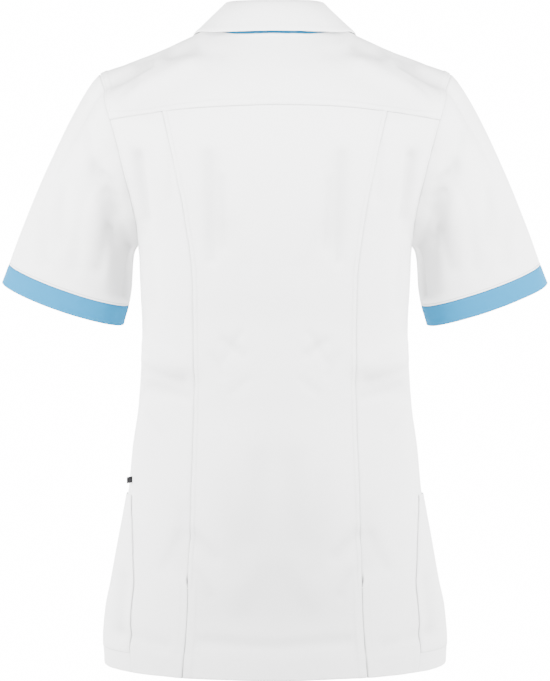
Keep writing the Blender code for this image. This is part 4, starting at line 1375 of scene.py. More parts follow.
@dataclass
class Fronts:
    """The two fronts, right over left, and the patch pockets on them."""

    shop: Workshop
    edge_stitch: float = 5.0 * MM
    pocket_stitch: float = 2.0 * MM
    pocket_hem: float = 22 * MM
    tuck_blend: float = 0.03

    @staticmethod
    def lap_share(points: Array) -> Array:
        """How far the cloth has reached its full lap at the front edge."""
        reach = (points[..., 0] - SIZES.lap_full_x) / (SIZES.lap_end_x - SIZES.lap_full_x)
        return 1 - smooth_step(reach)

    def places(self) -> Array:
        """Grid of the left front: hem to neck, side seam and armhole to the front edge."""
        form = self.shop.form
        armhole = self.shop.armhole
        side = form.side_line()
        curve = armhole.places[armhole.front_end:][::-1]
        outer = np.concatenate((side, curve))
        levels = np.concatenate((side[:, 1], spread(SIZES.underarm, SIZES.nape, FRONT_ARMHOLE_ROWS)[1:]))
        edge = np.stack((form.angle_for_x(-SIZES.front_overlap, levels, -1.0), levels), axis=1)
        yoke_seam = line(curve[-1], (SIZES.front_yoke_angle, SIZES.nape), YOKE_ROWS)
        neck = line(yoke_seam[-1], edge[-1], FRONT_NECK_COLUMNS)[1:]
        top = np.concatenate((yoke_seam, neck))
        bottom = line(outer[0], edge[0], YOKE_ROWS + FRONT_NECK_COLUMNS)
        return patch(bottom, top, outer, edge, first_bent_row=LOWER_ROWS)

    def build(self) -> None:
        """Build both fronts and both pockets and sew them."""
        shop = self.shop
        places = self.places()
        self._pockets(places)
        places = denser(places, list(Edge))
        grid = shop.body_grid(places, flip=-1.0)
        at_armhole = places[:, 0, 1] >= SIZES.underarm - JUST_UNDER
        shop.join_armhole(grid, [(int(i), 0) for i in np.flatnonzero(at_armhole)])
        armhole_share = float(np.mean(~at_armhole))
        yoke_share = float(np.mean(places[-1, :, 1] < SIZES.nape - JUST_UNDER))
        rows, columns = (np.linspace(0, 1, size) for size in places.shape[:2])
        trim(grid, Edge.START, -TUCK * smooth_step((armhole_share - rows) / self.tuck_blend))
        trim(grid, Edge.TOP, -TUCK * smooth_step((yoke_share - columns) / self.tuck_blend + 1))
        press(grid, [
            HEM_RELIEF,
            armhole_relief(armhole_share),
            SeamRelief(Edge.START, **UNDER, span=(0, armhole_share)),
            SeamRelief(Edge.END, roll=0.1 * MM, lift=0.15 * MM, stitch_rows=(self.edge_stitch,)),
            SeamRelief(Edge.TOP, **UNDER, span=(0, yoke_share)),
        ])
        lift = (self.lap_share(grid.points) * SIZES.lap_lift)[..., None] * grid.normals()
        left = ClothGrid(grid.points - lift, flip=-1.0, walls=grid.walls, shade=grid.shade)
        right = ClothGrid(grid.points + lift, flip=-1.0, walls=grid.walls, shade=grid.shade).mirrored()
        for side, piece in (("left", left), ("right", right)):
            shop.dress(f"front_{side}", piece, hem_wall(piece), "yoke")
            group = f"front_{side}_stitches"
            shop.sew(group, piece, Edge.BOTTOM, HEM_RELIEF.stitch_rows[0], SEWN_HEM)
            shop.sew(group, piece, Edge.START, SIZES.armhole_stitch, (armhole_share, 1))
            shop.sew(group, piece, Edge.END, self.edge_stitch)

    def _pockets(self, places: Array) -> None:
        """Build the patch pockets, which lie on the fronts from the side seams inwards."""
        shop = self.shop
        low, high = POCKET_ROWS
        cut = places[low:high + 1, :POCKET_COLUMNS + 1]
        cut = denser(cut, list(Edge))
        rise = np.linspace(0, 1, len(cut))[:, None]
        grid = shop.body_grid(cut, flip=-1.0)
        trim(grid, Edge.START, SIZES.pocket_side_inset)
        lift = SIZES.pocket_lift + SIZES.pocket_stand_off * smooth_step(rise / SIZES.pocket_full_share)
        grid.raise_by(np.broadcast_to(lift, grid.points.shape[:2]))
        sewn = {"roll": 0.2 * MM, "lift": 0.1 * MM, "stitch_rows": (self.pocket_stitch,), "shade": 0.3}
        hem = self.pocket_hem
        press(grid, [
            SeamRelief(Edge.START, roll=0.7 * MM, roll_reach=3.0 * MM, lift=0.0),
            SeamRelief(Edge.END, **sewn),
            SeamRelief(Edge.BOTTOM, **sewn),
            SeamRelief(Edge.TOP, roll=0.1 * MM, lift=0.2 * MM, turning=hem, stitch_rows=(hem,)),
        ])
        for side, piece in (("left", grid), ("right", grid.mirrored())):
            shop.dress(f"pocket_{side}", piece, SIZES.cloth, f"front_{side}")
            group = f"pocket_{side}_stitches"
            shop.sew(group, piece, Edge.BOTTOM, self.pocket_stitch)
            shop.sew(group, piece, Edge.END, self.pocket_stitch)
            shop.sew(group, piece, Edge.TOP, self.pocket_hem)


@dataclass
class Sleeves:
    """The sleeves, their piping and their cuffs."""

    shop: Workshop
    cuff_stitch: float = 1.6 * MM
    piping_sides: int = 12
    piping_length: float = 0.38
    piping_girth: float = 6 * MM

    @staticmethod
    def cuff_axes() -> tuple[Array, Array, Array]:
        """Directions along the sleeve, across it and towards its back, at the cuff."""
        lean, pitch = SIZES.sleeve_lean, SIZES.sleeve_pitch
        along = unit((math.sin(lean), -math.sin(pitch), -math.cos(lean) * math.cos(pitch)))
        across = np.array((math.cos(lean), 0.0, math.sin(lean)))
        across = unit(across - along * (across @ along))
        return along, across, np.cross(across, along)

    def cuff_ring(self, distance: float, flare: float = 0.0) -> Array:
        """Ring of the cuff, at a distance down the sleeve from the cuff's seam."""
        along, across, backwards = self.cuff_axes()
        turn = spread(0, 2 * math.pi, self.shop.armhole.count)[:-1, None]
        wide = (SIZES.cuff_half_width + flare) * -np.cos(turn) * across
        deep = (SIZES.cuff_half_depth + flare) * np.sin(turn) * backwards
        return CUFF_CENTRE + along * distance + wide + deep

    def build(self) -> None:
        """Build both sleeves, both pipings and both cuffs."""
        shop = self.shop
        sleeve = self._sleeve_grid()
        cuff = self._cuff_grid()
        for side in ("left", "right"):
            turned = side == "right"
            piece = sleeve.mirrored() if turned else sleeve
            shop.dress(f"sleeve_{side}", piece, SIZES.cloth, "yoke")
            piece = cuff.mirrored() if turned else cuff
            shop.dress(f"cuff_{side}", piece, SIZES.cuff_wall, f"sleeve_{side}", slot="blue_cloth")
            shop.sew(f"cuff_{side}_stitches", piece, Edge.BOTTOM, self.cuff_stitch)
            self._piping(side, MIRROR if turned else np.ones(3))

    def _sleeve_grid(self) -> ClothGrid:
        """Middle of the sleeve's cloth from the armhole to the cuff."""
        shop = self.shop
        armhole = shop.armhole
        along = self.cuff_axes()[0]
        end = self.cuff_ring(-SIZES.piping_radius)
        start_reach = Armhole.blend_quarters(armhole.count, lambda item: (item.start_reach,)) * MM
        end_reach = Armhole.blend_quarters(armhole.count, lambda item: (item.end_reach,)) * MM
        start = armhole.points
        first = start + armhole.leaving * start_reach
        second = end - along * end_reach
        share = denser(np.linspace(0, 1, SLEEVE_ROWS + 1)[:, None, None], [Edge.BOTTOM, Edge.TOP])
        points = start[None] * (1 - share) ** 3 + first[None] * 3 * share * (1 - share) ** 2
        points = points + second[None] * 3 * share ** 2 * (1 - share) + end[None] * share ** 3
        grid = ClothGrid(points, closed=True)
        normals = grid.normals()
        fade = smooth_step(share / FOLD_RISE) * smooth_step((1 - share) / FOLD_FADE)
        reach = shop.folds.reach(points, normals, shop.folds.sleeve, shop.folds.sleeve)
        reach = reach * fade[..., 0]
        grid.points = points + normals * reach[..., None]
        # Painted shade in the sleeve's troughs
        grid.shade = shop.folds.painted_trough_shade(reach)
        trim(grid, Edge.BOTTOM, -TUCK)
        press(grid, [
            SeamRelief(Edge.BOTTOM, **UNDER, pucker=0.4 * MM),
            SeamRelief(Edge.TOP, roll=0.3 * MM, lift=0.15 * MM, pucker=0.25 * MM, shade=0.5),
        ])
        return grid

    def _cuff_grid(self) -> ClothGrid:
        """Middle of the cuff's folded cloth."""
        start = SIZES.piping_radius
        share = denser(np.linspace(0, 1, CUFF_ROWS + 1)[:, None, None], [Edge.BOTTOM, Edge.TOP], reach=2)
        rows = [self.cuff_ring(start + SIZES.cuff_height * s, SIZES.cuff_flare * s) for s in share.ravel()]
        grid = ClothGrid(np.array(rows), closed=True)
        sewn = SeamRelief(Edge.BOTTOM, lift=0.1 * MM, stitch_rows=(self.cuff_stitch,), shade=0.6)
        press(grid, [sewn])
        return grid

    def _piping(self, side: str, flip: Array) -> None:
        """Build the covered cord between sleeve and cuff."""
        along = self.cuff_axes()[0]
        middle = self.cuff_ring(0.0)
        rings = ClothGrid(np.array((middle, middle + along * MM)), closed=True)
        outward = rings.normals()[0]
        lines = []
        for turn in np.linspace(0, 2 * math.pi, self.piping_sides, endpoint=False):
            reach = outward * math.cos(turn) + along * math.sin(turn)
            lines.append((middle + reach * SIZES.piping_radius) * flip)
        lines = np.array(lines)
        sides, count = lines.shape[:2]
        grid = np.arange(sides * count).reshape(sides, count)
        grid = np.concatenate((grid, grid[:1]))
        grid = np.concatenate((grid, grid[:, :1]), axis=1)
        faces = quads(grid)
        if flip[0] < 0:
            faces = faces[:, ::-1]
        around = np.linspace(0, self.piping_length, count)
        across = np.linspace(0, self.piping_girth, sides)
        uv = np.stack(np.meshgrid(around, across), axis=-1).reshape(-1, 2)
        made = make_mesh(f"piping_{side}_cord", settle(lines.reshape(-1, 3)), faces, uv)
        self.shop.fit(made, "white_cloth", f"piping_{side}")


@dataclass
class Collar:
    """The turn-down collar: a blue stand and a white leaf that folds over it."""

    shop: Workshop
    stitch: float = 6.0 * MM
    leaf_wall: float = 1.4 * SIZES.cloth
    turn_rows: int = 6

    @staticmethod
    def _column(name: str) -> Callable[[Array], Array]:
        """Make one column of the collar table a smooth function of the angle, even across the back."""
        sign = -1 if name.endswith("x") else 1
        angles = [math.radians(station.angle) for station in COLLAR]
        values = [getattr(station, name) * MM for station in COLLAR]
        angles += [math.pi - angle for angle in angles[-2::-1]]
        values += [sign * value for value in values[-2::-1]]
        return smooth_curve(angles, values)

    def _lines(self, angle: Array) -> list[Array]:
        """Fold line, bulge and lower edge of the collar's left half."""
        return [
            np.stack([self._column(f"{part}_{axis}")(angle) for axis in "xyz"], axis=-1)
            for part in ("fold", "bulge", "edge")
        ]

    @staticmethod
    def _whole(rows: Array, flip: float) -> ClothGrid:
        """Join the left half of the collar's grid to its mirror image."""
        points = np.concatenate((rows, rows[:, :-1][:, ::-1] * MIRROR), axis=1)
        return ClothGrid(points, flip=flip)

    def build(self) -> None:
        """Build the stand and the leaf."""
        shop = self.shop
        end = math.radians(COLLAR[0].angle)
        angles = spread(end, math.pi / 2, COLLAR_COLUMNS // 2)
        fold, bulge, edge = self._lines(angles)
        root = shop.cloth_at(angles, np.full(len(angles), SIZES.nape))[0]
        inward = unit(np.stack((-fold[:, 0], -fold[:, 1], np.zeros(len(fold))), axis=1))
        lap = Fronts.lap_share(root)[:, None] * (SIZES.lap_lift + SIZES.seam_gap)
        root = root + inward * (SIZES.solid_wall / 2 + SIZES.seam_gap + lap)
        root = root + np.array((0, 0, SIZES.seam_gap))
        top = root + (fold + inward * SIZES.fold_inset - root) * SIZES.stand_share
        rise = np.linspace(0, 1, STAND_ROWS + 1)[:, None, None]
        stand = self._whole(root[None] * (1 - rise) + top[None] * rise, 1.0)
        trim(stand, Edge.TOP, SEAM_TRIM)
        trim(stand, Edge.BOTTOM, -TUCK)
        shop.dress("collar_stand", stand, SIZES.cloth, "yoke", slot="blue_cloth")

        turn = fold + inward * SIZES.turn_inset - np.array((0, 0, SIZES.turn_drop))
        rows = [
            top * (1 - t) ** 2 + (2 * turn - (top + fold) / 2) * 2 * t * (1 - t) + fold * t * t
            for t in np.linspace(0, 1, self.turn_rows + 1)[:-1]
        ]
        for t in np.linspace(0, 1, LEAF_ROWS + 1):
            rows.append(fold * (1 - t) ** 2 + bulge * 2 * t * (1 - t) + edge * t * t)
        leaf = self._whole(denser(np.array(rows), [Edge.TOP, Edge.START]), -1.0)
        trim(leaf, Edge.BOTTOM, SEAM_TRIM)
        press(leaf, [
            SeamRelief(side, roll=height, lift=height, stitch_rows=(self.stitch,))
            for side, height in ((Edge.TOP, 0.3 * MM), (Edge.START, 0.2 * MM), (Edge.END, 0.2 * MM))
        ])
        shop.dress("collar_leaf", leaf, self.leaf_wall, "collar_stand")
        for side, span in ((Edge.TOP, SEWN_HEM), (Edge.START, (0.3, 0.96)), (Edge.END, (0.3, 0.96))):
            shop.sew("collar_stitches", leaf, side, self.stitch, span)


@dataclass
class Buttons:
    """Six round four-hole buttons down the front, their thread and their buttonholes."""

    shop: Workshop
    count: int = 6
    lift: float = 0.4 * MM
    first: float = -100 * MM
    last: float = -590 * MM
    hole_offset: float = 1.25 * MM
    hole_radius: float = 0.8 * MM
    hole_depth: float = 1.3 * MM
    hole_round: float = 0.4 * MM
    rim_rings: int = 9
    thread_rise: float = 1.75 * MM
    buttonhole: float = 17 * MM
    half_slot: float = 1.0 * MM
    half_bar: float = 1.6 * MM
    line_points: int = 9
    sides: int = 36

    def profile(self) -> Array:
        """Radius and rise of the button's rings, from the middle of its back to that of its face."""
        rim = ((0.2, 0), (6.6, 0), (7.2, 0.2), (7.5, 0.7), (7.5, 1.8), (7.3, 2.25), (6.9, 2.55), (6.4, 2.6))
        dish = ((5.8, 2.4), (5.3, 2.0), (4.8, 1.75), (4.1, 1.65), (3.4, 1.62), (2.9, 1.6), (2.5, 1.6))
        middle = ((2.1, 1.6), (1.8, 1.6), (1.5, 1.6), (1.2, 1.6), (0.9, 1.6), (0.6, 1.6), (0.2, 1.6))
        return np.array(rim + dish + middle) * MM

    def shape(self) -> bpy.types.Object:
        """Make one button about its own Z axis, with its four holes sunk in."""
        profile = self.profile()
        turn = np.linspace(0, 2 * math.pi, self.sides, endpoint=False)
        radius, rise = profile[:, :1], profile[:, 1:]
        x = radius * np.cos(turn)
        y = radius * np.sin(turn)
        z = np.broadcast_to(rise, x.shape).copy()
        off = np.hypot(abs(x) - self.hole_offset, abs(y) - self.hole_offset)
        face = np.arange(len(profile))[:, None] >= self.rim_rings
        z -= face * self.hole_depth * (1 - smooth_step((off - self.hole_radius * 0.6) / self.hole_round))
        vertices = np.stack((x, y, z), axis=-1).reshape(-1, 3)
        grid = np.arange(len(vertices)).reshape(x.shape)
        faces = quads(np.concatenate((grid, grid[:, :1]), axis=1))
        ends = [tuple(range(self.sides))[::-1], tuple(range(len(vertices) - self.sides, len(vertices)))]
        mesh = bpy.data.meshes.new("button_shape")
        mesh.from_pydata(vertices.tolist(), [], faces.tolist() + ends)
        mesh.shade_smooth()
        return bpy.data.objects.new("button_shape", mesh)

    def build(self) -> None:
        """Sew on the buttons and work the buttonholes."""
        shop = self.shop
        heights = spread(self.first, self.last, self.count - 1)
        centres, normals = shop.cloth_at(*shop.form.place_at(np.zeros(self.count), heights, -1))
        cloth = centres + normals * (SIZES.lap_lift + SIZES.cloth / 2)
        base = centres + normals * (SIZES.lap_lift + SIZES.solid_wall / 2 + self.lift)
        across = np.array((1.0, 0.0, 0.0))
        down = unit(np.cross(normals, across))
        made = shop.nodes.at_points("buttons", settle(base), normals, self.shape(), shop.finishes.plastic)
        shop.fit(made, "button_plastic", *(f"button_{number}" for number in range(1, self.count + 1)))
        for centre, hole, normal, way in zip(base, cloth, normals, down):
            for side in (-1, 1):
                start = centre + normal * self.thread_rise + (way * side - across) * self.hole_offset
                self._line("button_thread", start, across, 2 * self.hole_offset, normal)
                start = hole + across * side * self.half_slot - way * self.buttonhole / 2
                self._line("front_right_stitches", start, way, self.buttonhole, normal)
                start = hole + way * side * self.buttonhole / 2 - across * self.half_bar
                self._line("front_right_stitches", start, across, 2 * self.half_bar, normal)

    def _line(self, group: str, start: Array, way: Array, length: float, normal: Array) -> None:
        """Lay a short straight line of close stitches."""
        steps = np.linspace(0, length, self.line_points)[:, None]
        normals = np.broadcast_to(normal, (len(steps), 3))
        self.shop.lay(group, start + way * steps, normals, StitchKind.SATIN)


@dataclass
class SideLabel:
    """The small bare folded tape in the wearer's left side seam."""

    shop: Workshop
    height: float = -503 * MM
    reach: float = 6.2 * MM
    length: float = 7 * MM
    drop: float = 1.5 * MM
    root: float = 0.9 * MM
    half_loop: float = 0.35 * MM
    loop_shape: float = 0.45
    tape: float = 0.3 * MM

    def build(self) -> None:
        """Build the folded tape."""
        shop = self.shop
        angle = np.array(float(shop.form.side_seam_angle(self.height)))
        centre, normal = shop.cloth_at(angle, np.array(self.height))
        down = np.array((0.0, 0.0, -1.0))
        aside = unit(np.cross(normal, down))
        turn = np.linspace(0, math.pi, 17)[None, :, None]
        rise = np.linspace(0, 1, 13)[:, None, None] - 0.5
        out = np.sin(turn) ** self.loop_shape
        points = centre + normal * (self.root + self.reach * out) + aside * self.half_loop * np.cos(turn)
        points = points - down * self.length * rise + down * self.drop * out
        made = ClothGrid(points).shell("label_tab_tape", self.tape)
        shop.fit(made, "label_cloth", "label_tab")


class NodeMaker:
    """Adds nodes to one node tree and links them as it goes."""

    def __init__(self, tree: bpy.types.NodeTree) -> None:
        """Keep the tree."""
        self.tree = tree

    def add(
        self, kind: str, inputs: dict[str | int, object] | None = None, **settings: object,
    ) -> bpy.types.Node:
        """Add a node.

        Args:
            kind: the node's type.
            inputs: a value or another node's output for each input, by name or number.
            settings: the node's own properties.

        Returns:
            The node.
        """
        node = self.tree.nodes.new(kind)
        for key, value in settings.items():
            setattr(node, key, value)
        self.wire(node, inputs or {})
        return node

    def wire(self, node: bpy.types.Node, inputs: dict[str | int, object]) -> None:
        """Give a node's inputs values or other nodes' outputs."""
        for key, value in inputs.items():
            if isinstance(value, bpy.types.NodeSocket):
                self.tree.links.new(value, node.inputs[key])
            else:
                node.inputs[key].default_value = value

    def mix(self, factor: bpy.types.NodeSocket, low: object, high: object) -> bpy.types.NodeSocket:
        """Mix two colours and return the result."""
        return self.add("ShaderNodeMix", {"Factor": factor, 6: low, 7: high}, data_type="RGBA").outputs[2]

    def math(self, operation: str, *values: object) -> bpy.types.NodeSocket:
        """Add one step of arithmetic and return its result."""
        return self.add("ShaderNodeMath", dict(enumerate(values)), operation=operation).outputs[0]

    def plug(self, name: str, kind: str, value: object = None, out: bool = False) -> None:
        """Give the tree an input or output socket."""
        socket = self.tree.interface.new_socket(
            name=name, in_out="OUTPUT" if out else "INPUT", socket_type=f"NodeSocket{kind}",
        )
        if value is not None:
            socket.default_value = value


def new_material(name: str) -> tuple[bpy.types.Material, NodeMaker, bpy.types.Node]:
    """Start a material: itself, the maker of its nodes and its surface."""
    made = bpy.data.materials.new(name)
    made.use_nodes = True
    return made, NodeMaker(made.node_tree), made.node_tree.nodes["Principled BSDF"]


class SewingNodes:
    """The Geometry Nodes trees that lay stitches along lines and set buttons at points."""

    def __init__(self) -> None:
        """Build both trees."""
        self.along = self._along_lines()
        self.points = self._at_points()

    @staticmethod
    def _start(name: str) -> tuple[NodeMaker, bpy.types.Node]:
        """Start a tree and give it the inputs that both have."""
        make = NodeMaker(bpy.data.node_groups.new(name, "GeometryNodeTree"))
        make.plug("Geometry", "Geometry")
        make.plug("Shape", "Object")
        make.plug("Spacing", "Float", 0.003)
        make.plug("Turn", "Float", 0.0)
        make.plug("Unevenness", "Float", 0.1)
        make.plug("Seed", "Int", 1)
        make.plug("Material", "Material")
        make.plug("Geometry", "Geometry", out=True)
        return make, make.add("NodeGroupInput")

    @staticmethod
    def _random(make: NodeMaker, given: bpy.types.Node, low: object, high: object) -> bpy.types.NodeSocket:
        """Draw a number between two others for each point."""
        return make.add(
            "FunctionNodeRandomValue", {2: low, 3: high, "Seed": given.outputs["Seed"]}, data_type="FLOAT",
        ).outputs[1]

    @staticmethod
    def _facing(make: NodeMaker, ahead: object) -> bpy.types.NodeSocket:
        """Turn a shape's Z along the attribute up and its X ahead."""
        up = make.add("GeometryNodeInputNamedAttribute", {"Name": "up"}, data_type="FLOAT_VECTOR")
        return make.add(
            "FunctionNodeAxesToRotation", {"Primary Axis": up.outputs[0], "Secondary Axis": ahead},
            primary_axis="Z", secondary_axis="X",
        ).outputs[0]

    def _finish(
        self,
        make: NodeMaker,
        given: bpy.types.Node,
        points: bpy.types.NodeSocket,
        facing: bpy.types.NodeSocket,
    ) -> bpy.types.NodeTree:
        """Set the shape on the points, make it plain mesh, give it its material and return the tree."""
        uneven = given.outputs["Unevenness"]
        low = make.math("SUBTRACT", 1.0, uneven)
        size = self._random(make, given, low, make.math("ADD", 1.0, uneven))
        shape = make.add("GeometryNodeObjectInfo", {"Object": given.outputs["Shape"]})
        placed = make.add("GeometryNodeInstanceOnPoints", {
            "Points": points, "Instance": shape.outputs["Geometry"], "Rotation": facing, "Scale": size,
        })
        real = make.add("GeometryNodeRealizeInstances", {"Geometry": placed.outputs[0]})
        dressed = make.add(
            "GeometryNodeSetMaterial", {"Geometry": real.outputs[0], "Material": given.outputs["Material"]},
        )
        make.add("NodeGroupOutput", {"Geometry": dressed.outputs[0]})
        return make.tree

    def _along_lines(self) -> bpy.types.NodeTree:
        """Tree that repeats a shape along lines of edges, its Z along the attribute up."""
        make, given = self._start("stitches along lines")
        curve = make.add("GeometryNodeMeshToCurve", {"Mesh": given.outputs["Geometry"]})
        even = make.add(
            "GeometryNodeResampleCurve",
            {"Curve": curve.outputs[0], "Length": given.outputs["Spacing"]}, mode="LENGTH",
        )
        facing = self._facing(make, make.add("GeometryNodeInputTangent").outputs[0])
        sway = self._random(make, given, -STITCH_SWAY, STITCH_SWAY)
        angle = make.math("ADD", given.outputs["Turn"], sway)
        turn = make.add("FunctionNodeAxisAngleToRotation", {"Axis": (0, 0, 1), "Angle": angle})
        turned = make.add(
            "FunctionNodeRotateRotation",
            {"Rotation": facing, "Rotate By": turn.outputs[0]}, rotation_space="LOCAL",
        )
        return self._finish(make, given, even.outputs[0], turned.outputs[0])

    def _at_points(self) -> bpy.types.NodeTree:
        """Tree that sets a shape at each point, its Z along the attribute up."""
        make, given = self._start("shapes at points")
        return self._finish(make, given, given.outputs["Geometry"], self._facing(make, (1, 0, 0)))

    @staticmethod
    def _run(made: bpy.types.Object, tree: bpy.types.NodeTree, values: dict[str, object]) -> None:
        """Run a tree on an object and leave plain mesh."""
        modifier = made.modifiers.new("nodes", "NODES")
        modifier.node_group = tree
        for item in tree.interface.items_tree:
            if item.in_out == "INPUT" and item.name in values:
                modifier[item.identifier] = values[item.name]
        depsgraph = bpy.context.evaluated_depsgraph_get()
        mesh = bpy.data.meshes.new_from_object(made.evaluated_get(depsgraph))
        made.modifiers.clear()
        path = made.data
        made.data = mesh
        mesh.name = made.name
        bpy.data.meshes.remove(path)

    @staticmethod
    def _paths(name: str, points: Array, edges: list[tuple[int, int]], ups: Array) -> bpy.types.Object:
        """Make a mesh of points and edges that knows which way is up."""
        mesh = bpy.data.meshes.new(name)
        mesh.from_pydata(points.tolist(), edges, [])
        up = mesh.attributes.new("up", "FLOAT_VECTOR", "POINT")
        up.data.foreach_set("vector", ups.astype(np.float32).ravel())
        made = bpy.data.objects.new(name, mesh)
        bpy.context.scene.collection.objects.link(made)
        return made

    def along_lines(
        self,
        name: str,
        lines: Sequence[StitchLine],
        kind: StitchKind,
        material: bpy.types.Material,
    ) -> bpy.types.Object:
        """Sew lines of one kind of stitch.

        Args:
            name: the piece's name.
            lines: where the stitches run.
            kind: how the thread lies.
            material: the thread's finish.

        Returns:
            The piece, as plain mesh.
        """
        stitch = STITCHES[kind]
        points = settle(np.concatenate([item.points for item in lines]))
        ups = np.concatenate([item.normals for item in lines])
        edges = []
        first = 0
        for item in lines:
            edges += [(first + i, first + i + 1) for i in range(len(item.points) - 1)]
            first += len(item.points)
        made = self._paths(name, points, edges, ups)
        shape = stitch.shape(f"{name}_shape")
        self._run(made, self.along, {
            "Shape": shape, "Spacing": stitch.spacing, "Turn": stitch.turn, "Unevenness": STITCH_UNEVENNESS,
            "Seed": len(lines), "Material": material,
        })
        bpy.data.meshes.remove(shape.data)
        return made

    def at_points(
        self,
        name: str,
        points: Array,
        ups: Array,
        shape: bpy.types.Object,
        material: bpy.types.Material,
    ) -> bpy.types.Object:
        """Set a shape at points, and return it all as one plain mesh."""
        made = self._paths(name, points, [], ups)
        self._run(made, self.points, {"Shape": shape, "Unevenness": 0.0, "Material": material})
        bpy.data.meshes.remove(shape.data)
        return made


def weave_group() -> bpy.types.NodeTree:
    """Shader group for a twill weave: slanted ribs crossed by finer yarns."""
    tree = bpy.data.node_groups.new("twill weave", "ShaderNodeTree")
    make = NodeMaker(tree)
    make.plug("Place", "Vector")
    make.plug("Thread", "Float", 0.0009)
    make.plug("Height", "Float", out=True)
    make.plug("Shade", "Float", out=True)
    given = make.add("NodeGroupInput")
    axes = make.add("ShaderNodeSeparateXYZ", {0: given.outputs["Place"]})
    pitch = make.math("DIVIDE", 2 * math.pi, given.outputs["Thread"])
    u = make.math("MULTIPLY", axes.outputs[0], pitch)
    v = make.math("MULTIPLY", axes.outputs[1], pitch)
    slant = make.math("ADD", make.math("MULTIPLY", u, 0.62), v)
    rib = make.math("MULTIPLY_ADD", make.math("SINE", slant), 0.5, 0.5)
    yarn = make.math("MULTIPLY_ADD", make.math("SINE", make.math("MULTIPLY", u, 2.2)), 0.5, 0.5)
    slub = make.add("ShaderNodeTexNoise", {"Vector": given.outputs["Place"], "Scale": 420.0, "Detail": 3.0})
    height = make.math("MULTIPLY_ADD", yarn, 0.25, make.math("MULTIPLY", rib, 0.6))
    height = make.math("MULTIPLY_ADD", slub.outputs[0], 0.3, height)
    shade = make.math("MULTIPLY_ADD", slub.outputs[0], 0.6, make.math("MULTIPLY", rib, 0.4))
    make.add("NodeGroupOutput", {"Height": height, "Shade": shade})
    return tree


def crumple_group() -> bpy.types.NodeTree:
    """Shader group for soft handling marks: small creases and slight changes of tone."""
    tree = bpy.data.node_groups.new("soft crumple", "ShaderNodeTree")
    make = NodeMaker(tree)
    make.plug("Place", "Vector")
    make.plug("Height", "Float", out=True)
    make.plug("Tone", "Float", out=True)
    given = make.add("NodeGroupInput")
    broad = make.add("ShaderNodeTexNoise", {
        "Vector": given.outputs["Place"], "Scale": 26.0, "Detail": 2.0, "Roughness": 0.45, "Distortion": 0.6,
    })
    small = make.add("ShaderNodeTexNoise", {
        "Vector": given.outputs["Place"], "Scale": 85.0, "Detail": 3.0, "Roughness": 0.5,
    })
    tone = make.add("ShaderNodeTexNoise", {"Vector": given.outputs["Place"], "Scale": 9.0, "Detail": 4.0})
    height = make.math("MULTIPLY_ADD", small.outputs[0], 0.22, broad.outputs[0])
    make.add("NodeGroupOutput", {"Height": height, "Tone": tone.outputs[0]})
    return tree


@dataclass(frozen=True)
class ClothFinish:
    """Colour, weave and feel of one cloth, and how dark its painted shade of seams and troughs gets."""

    name: str
    colour: tuple[float, float, float]
    dark_tone_and_shade: tuple[float, float, float]
    thread: float = 0.9 * MM
    weave_depth: float = 0.05 * MM
    crumple_depth: float = 0.9 * MM
    roughness: float = 0.86
    sheen: float = 0.12
    sheen_roughness: float = 0.5
    specular: float = 0.25
    # How dark the painted shade of seams and troughs gets, as a share of the darker tone
    valley: float = 0.12
    relief: float = 0.6

    def build(self, weave: bpy.types.NodeTree, crumple: bpy.types.NodeTree) -> bpy.types.Material:
        """Build the material from the shared groups."""
        made, make, surface = new_material(self.name)
        place = make.add("ShaderNodeUVMap", uv_map=CLOTH_MAP)
        solid = make.add("ShaderNodeTexCoord")
        woven = make.add(
            "ShaderNodeGroup", {"Place": place.outputs[0], "Thread": self.thread}, node_tree=weave,
        ).outputs
        creased = make.add("ShaderNodeGroup", {"Place": solid.outputs["Object"]}, node_tree=crumple).outputs
        mixed = make.math("MULTIPLY_ADD", creased["Tone"], 0.7, make.math("MULTIPLY", woven["Shade"], 0.5))
        colour = make.mix(mixed, (*self.dark_tone_and_shade, 1), (*self.colour, 1))
        # Painted shade: where seams and troughs hold shade the colour darkens towards the darker tone times
        # valley
        valley = make.add("ShaderNodeAttribute", attribute_name=PAINTED_SHADE)
        deep = (*(part * self.valley for part in self.dark_tone_and_shade), 1)
        soft = make.add("ShaderNodeBump", {
            "Height": creased["Height"], "Distance": self.crumple_depth, "Strength": self.relief,
        })
        fine = make.add("ShaderNodeBump", {
            "Height": woven["Height"], "Distance": self.weave_depth, "Strength": self.relief,
            "Normal": soft.outputs[0],
        })
        make.wire(surface, {
            "Base Color": make.mix(valley.outputs["Fac"], colour, deep),
            "Roughness": make.math("MULTIPLY_ADD", woven["Shade"], 0.1, self.roughness - 0.05),
            "Normal": fine.outputs[0],
            "Sheen Weight": self.sheen,
            "Sheen Roughness": self.sheen_roughness,
            "Specular IOR Level": self.specular,
        })
        return made


@dataclass(frozen=True)
class ThreadFinish:
    """Twisted sewing thread."""

    name: str = "sewing_thread"
    colour: tuple[float, float, float] = (0.86, 0.86, 0.85)
    twist: float = 0.35 * MM
    dull: float = 0.86
    depth: float = 0.05 * MM
    roughness: float = 0.55
    sheen: float = 0.1

    def build(self) -> bpy.types.Material:
        """Build the material: fine slanted bands of light and shade."""
        made, make, surface = new_material(self.name)
        place = make.add("ShaderNodeTexCoord")
        bands = make.add("ShaderNodeTexWave", {
            "Vector": place.outputs["Object"], "Scale": 0.16 / self.twist, "Distortion": 1.5, "Detail": 1.0,
        }, bands_direction="DIAGONAL").outputs["Fac"]
        dull = (*(self.dull * part for part in self.colour), 1)
        bump = make.add("ShaderNodeBump", {"Height": bands, "Distance": self.depth, "Strength": 0.5})
        make.wire(surface, {
            "Base Color": make.mix(bands, dull, (*self.colour, 1)),
            "Normal": bump.outputs[0],
            "Roughness": self.roughness,
            "Sheen Weight": self.sheen,
        })
        return made


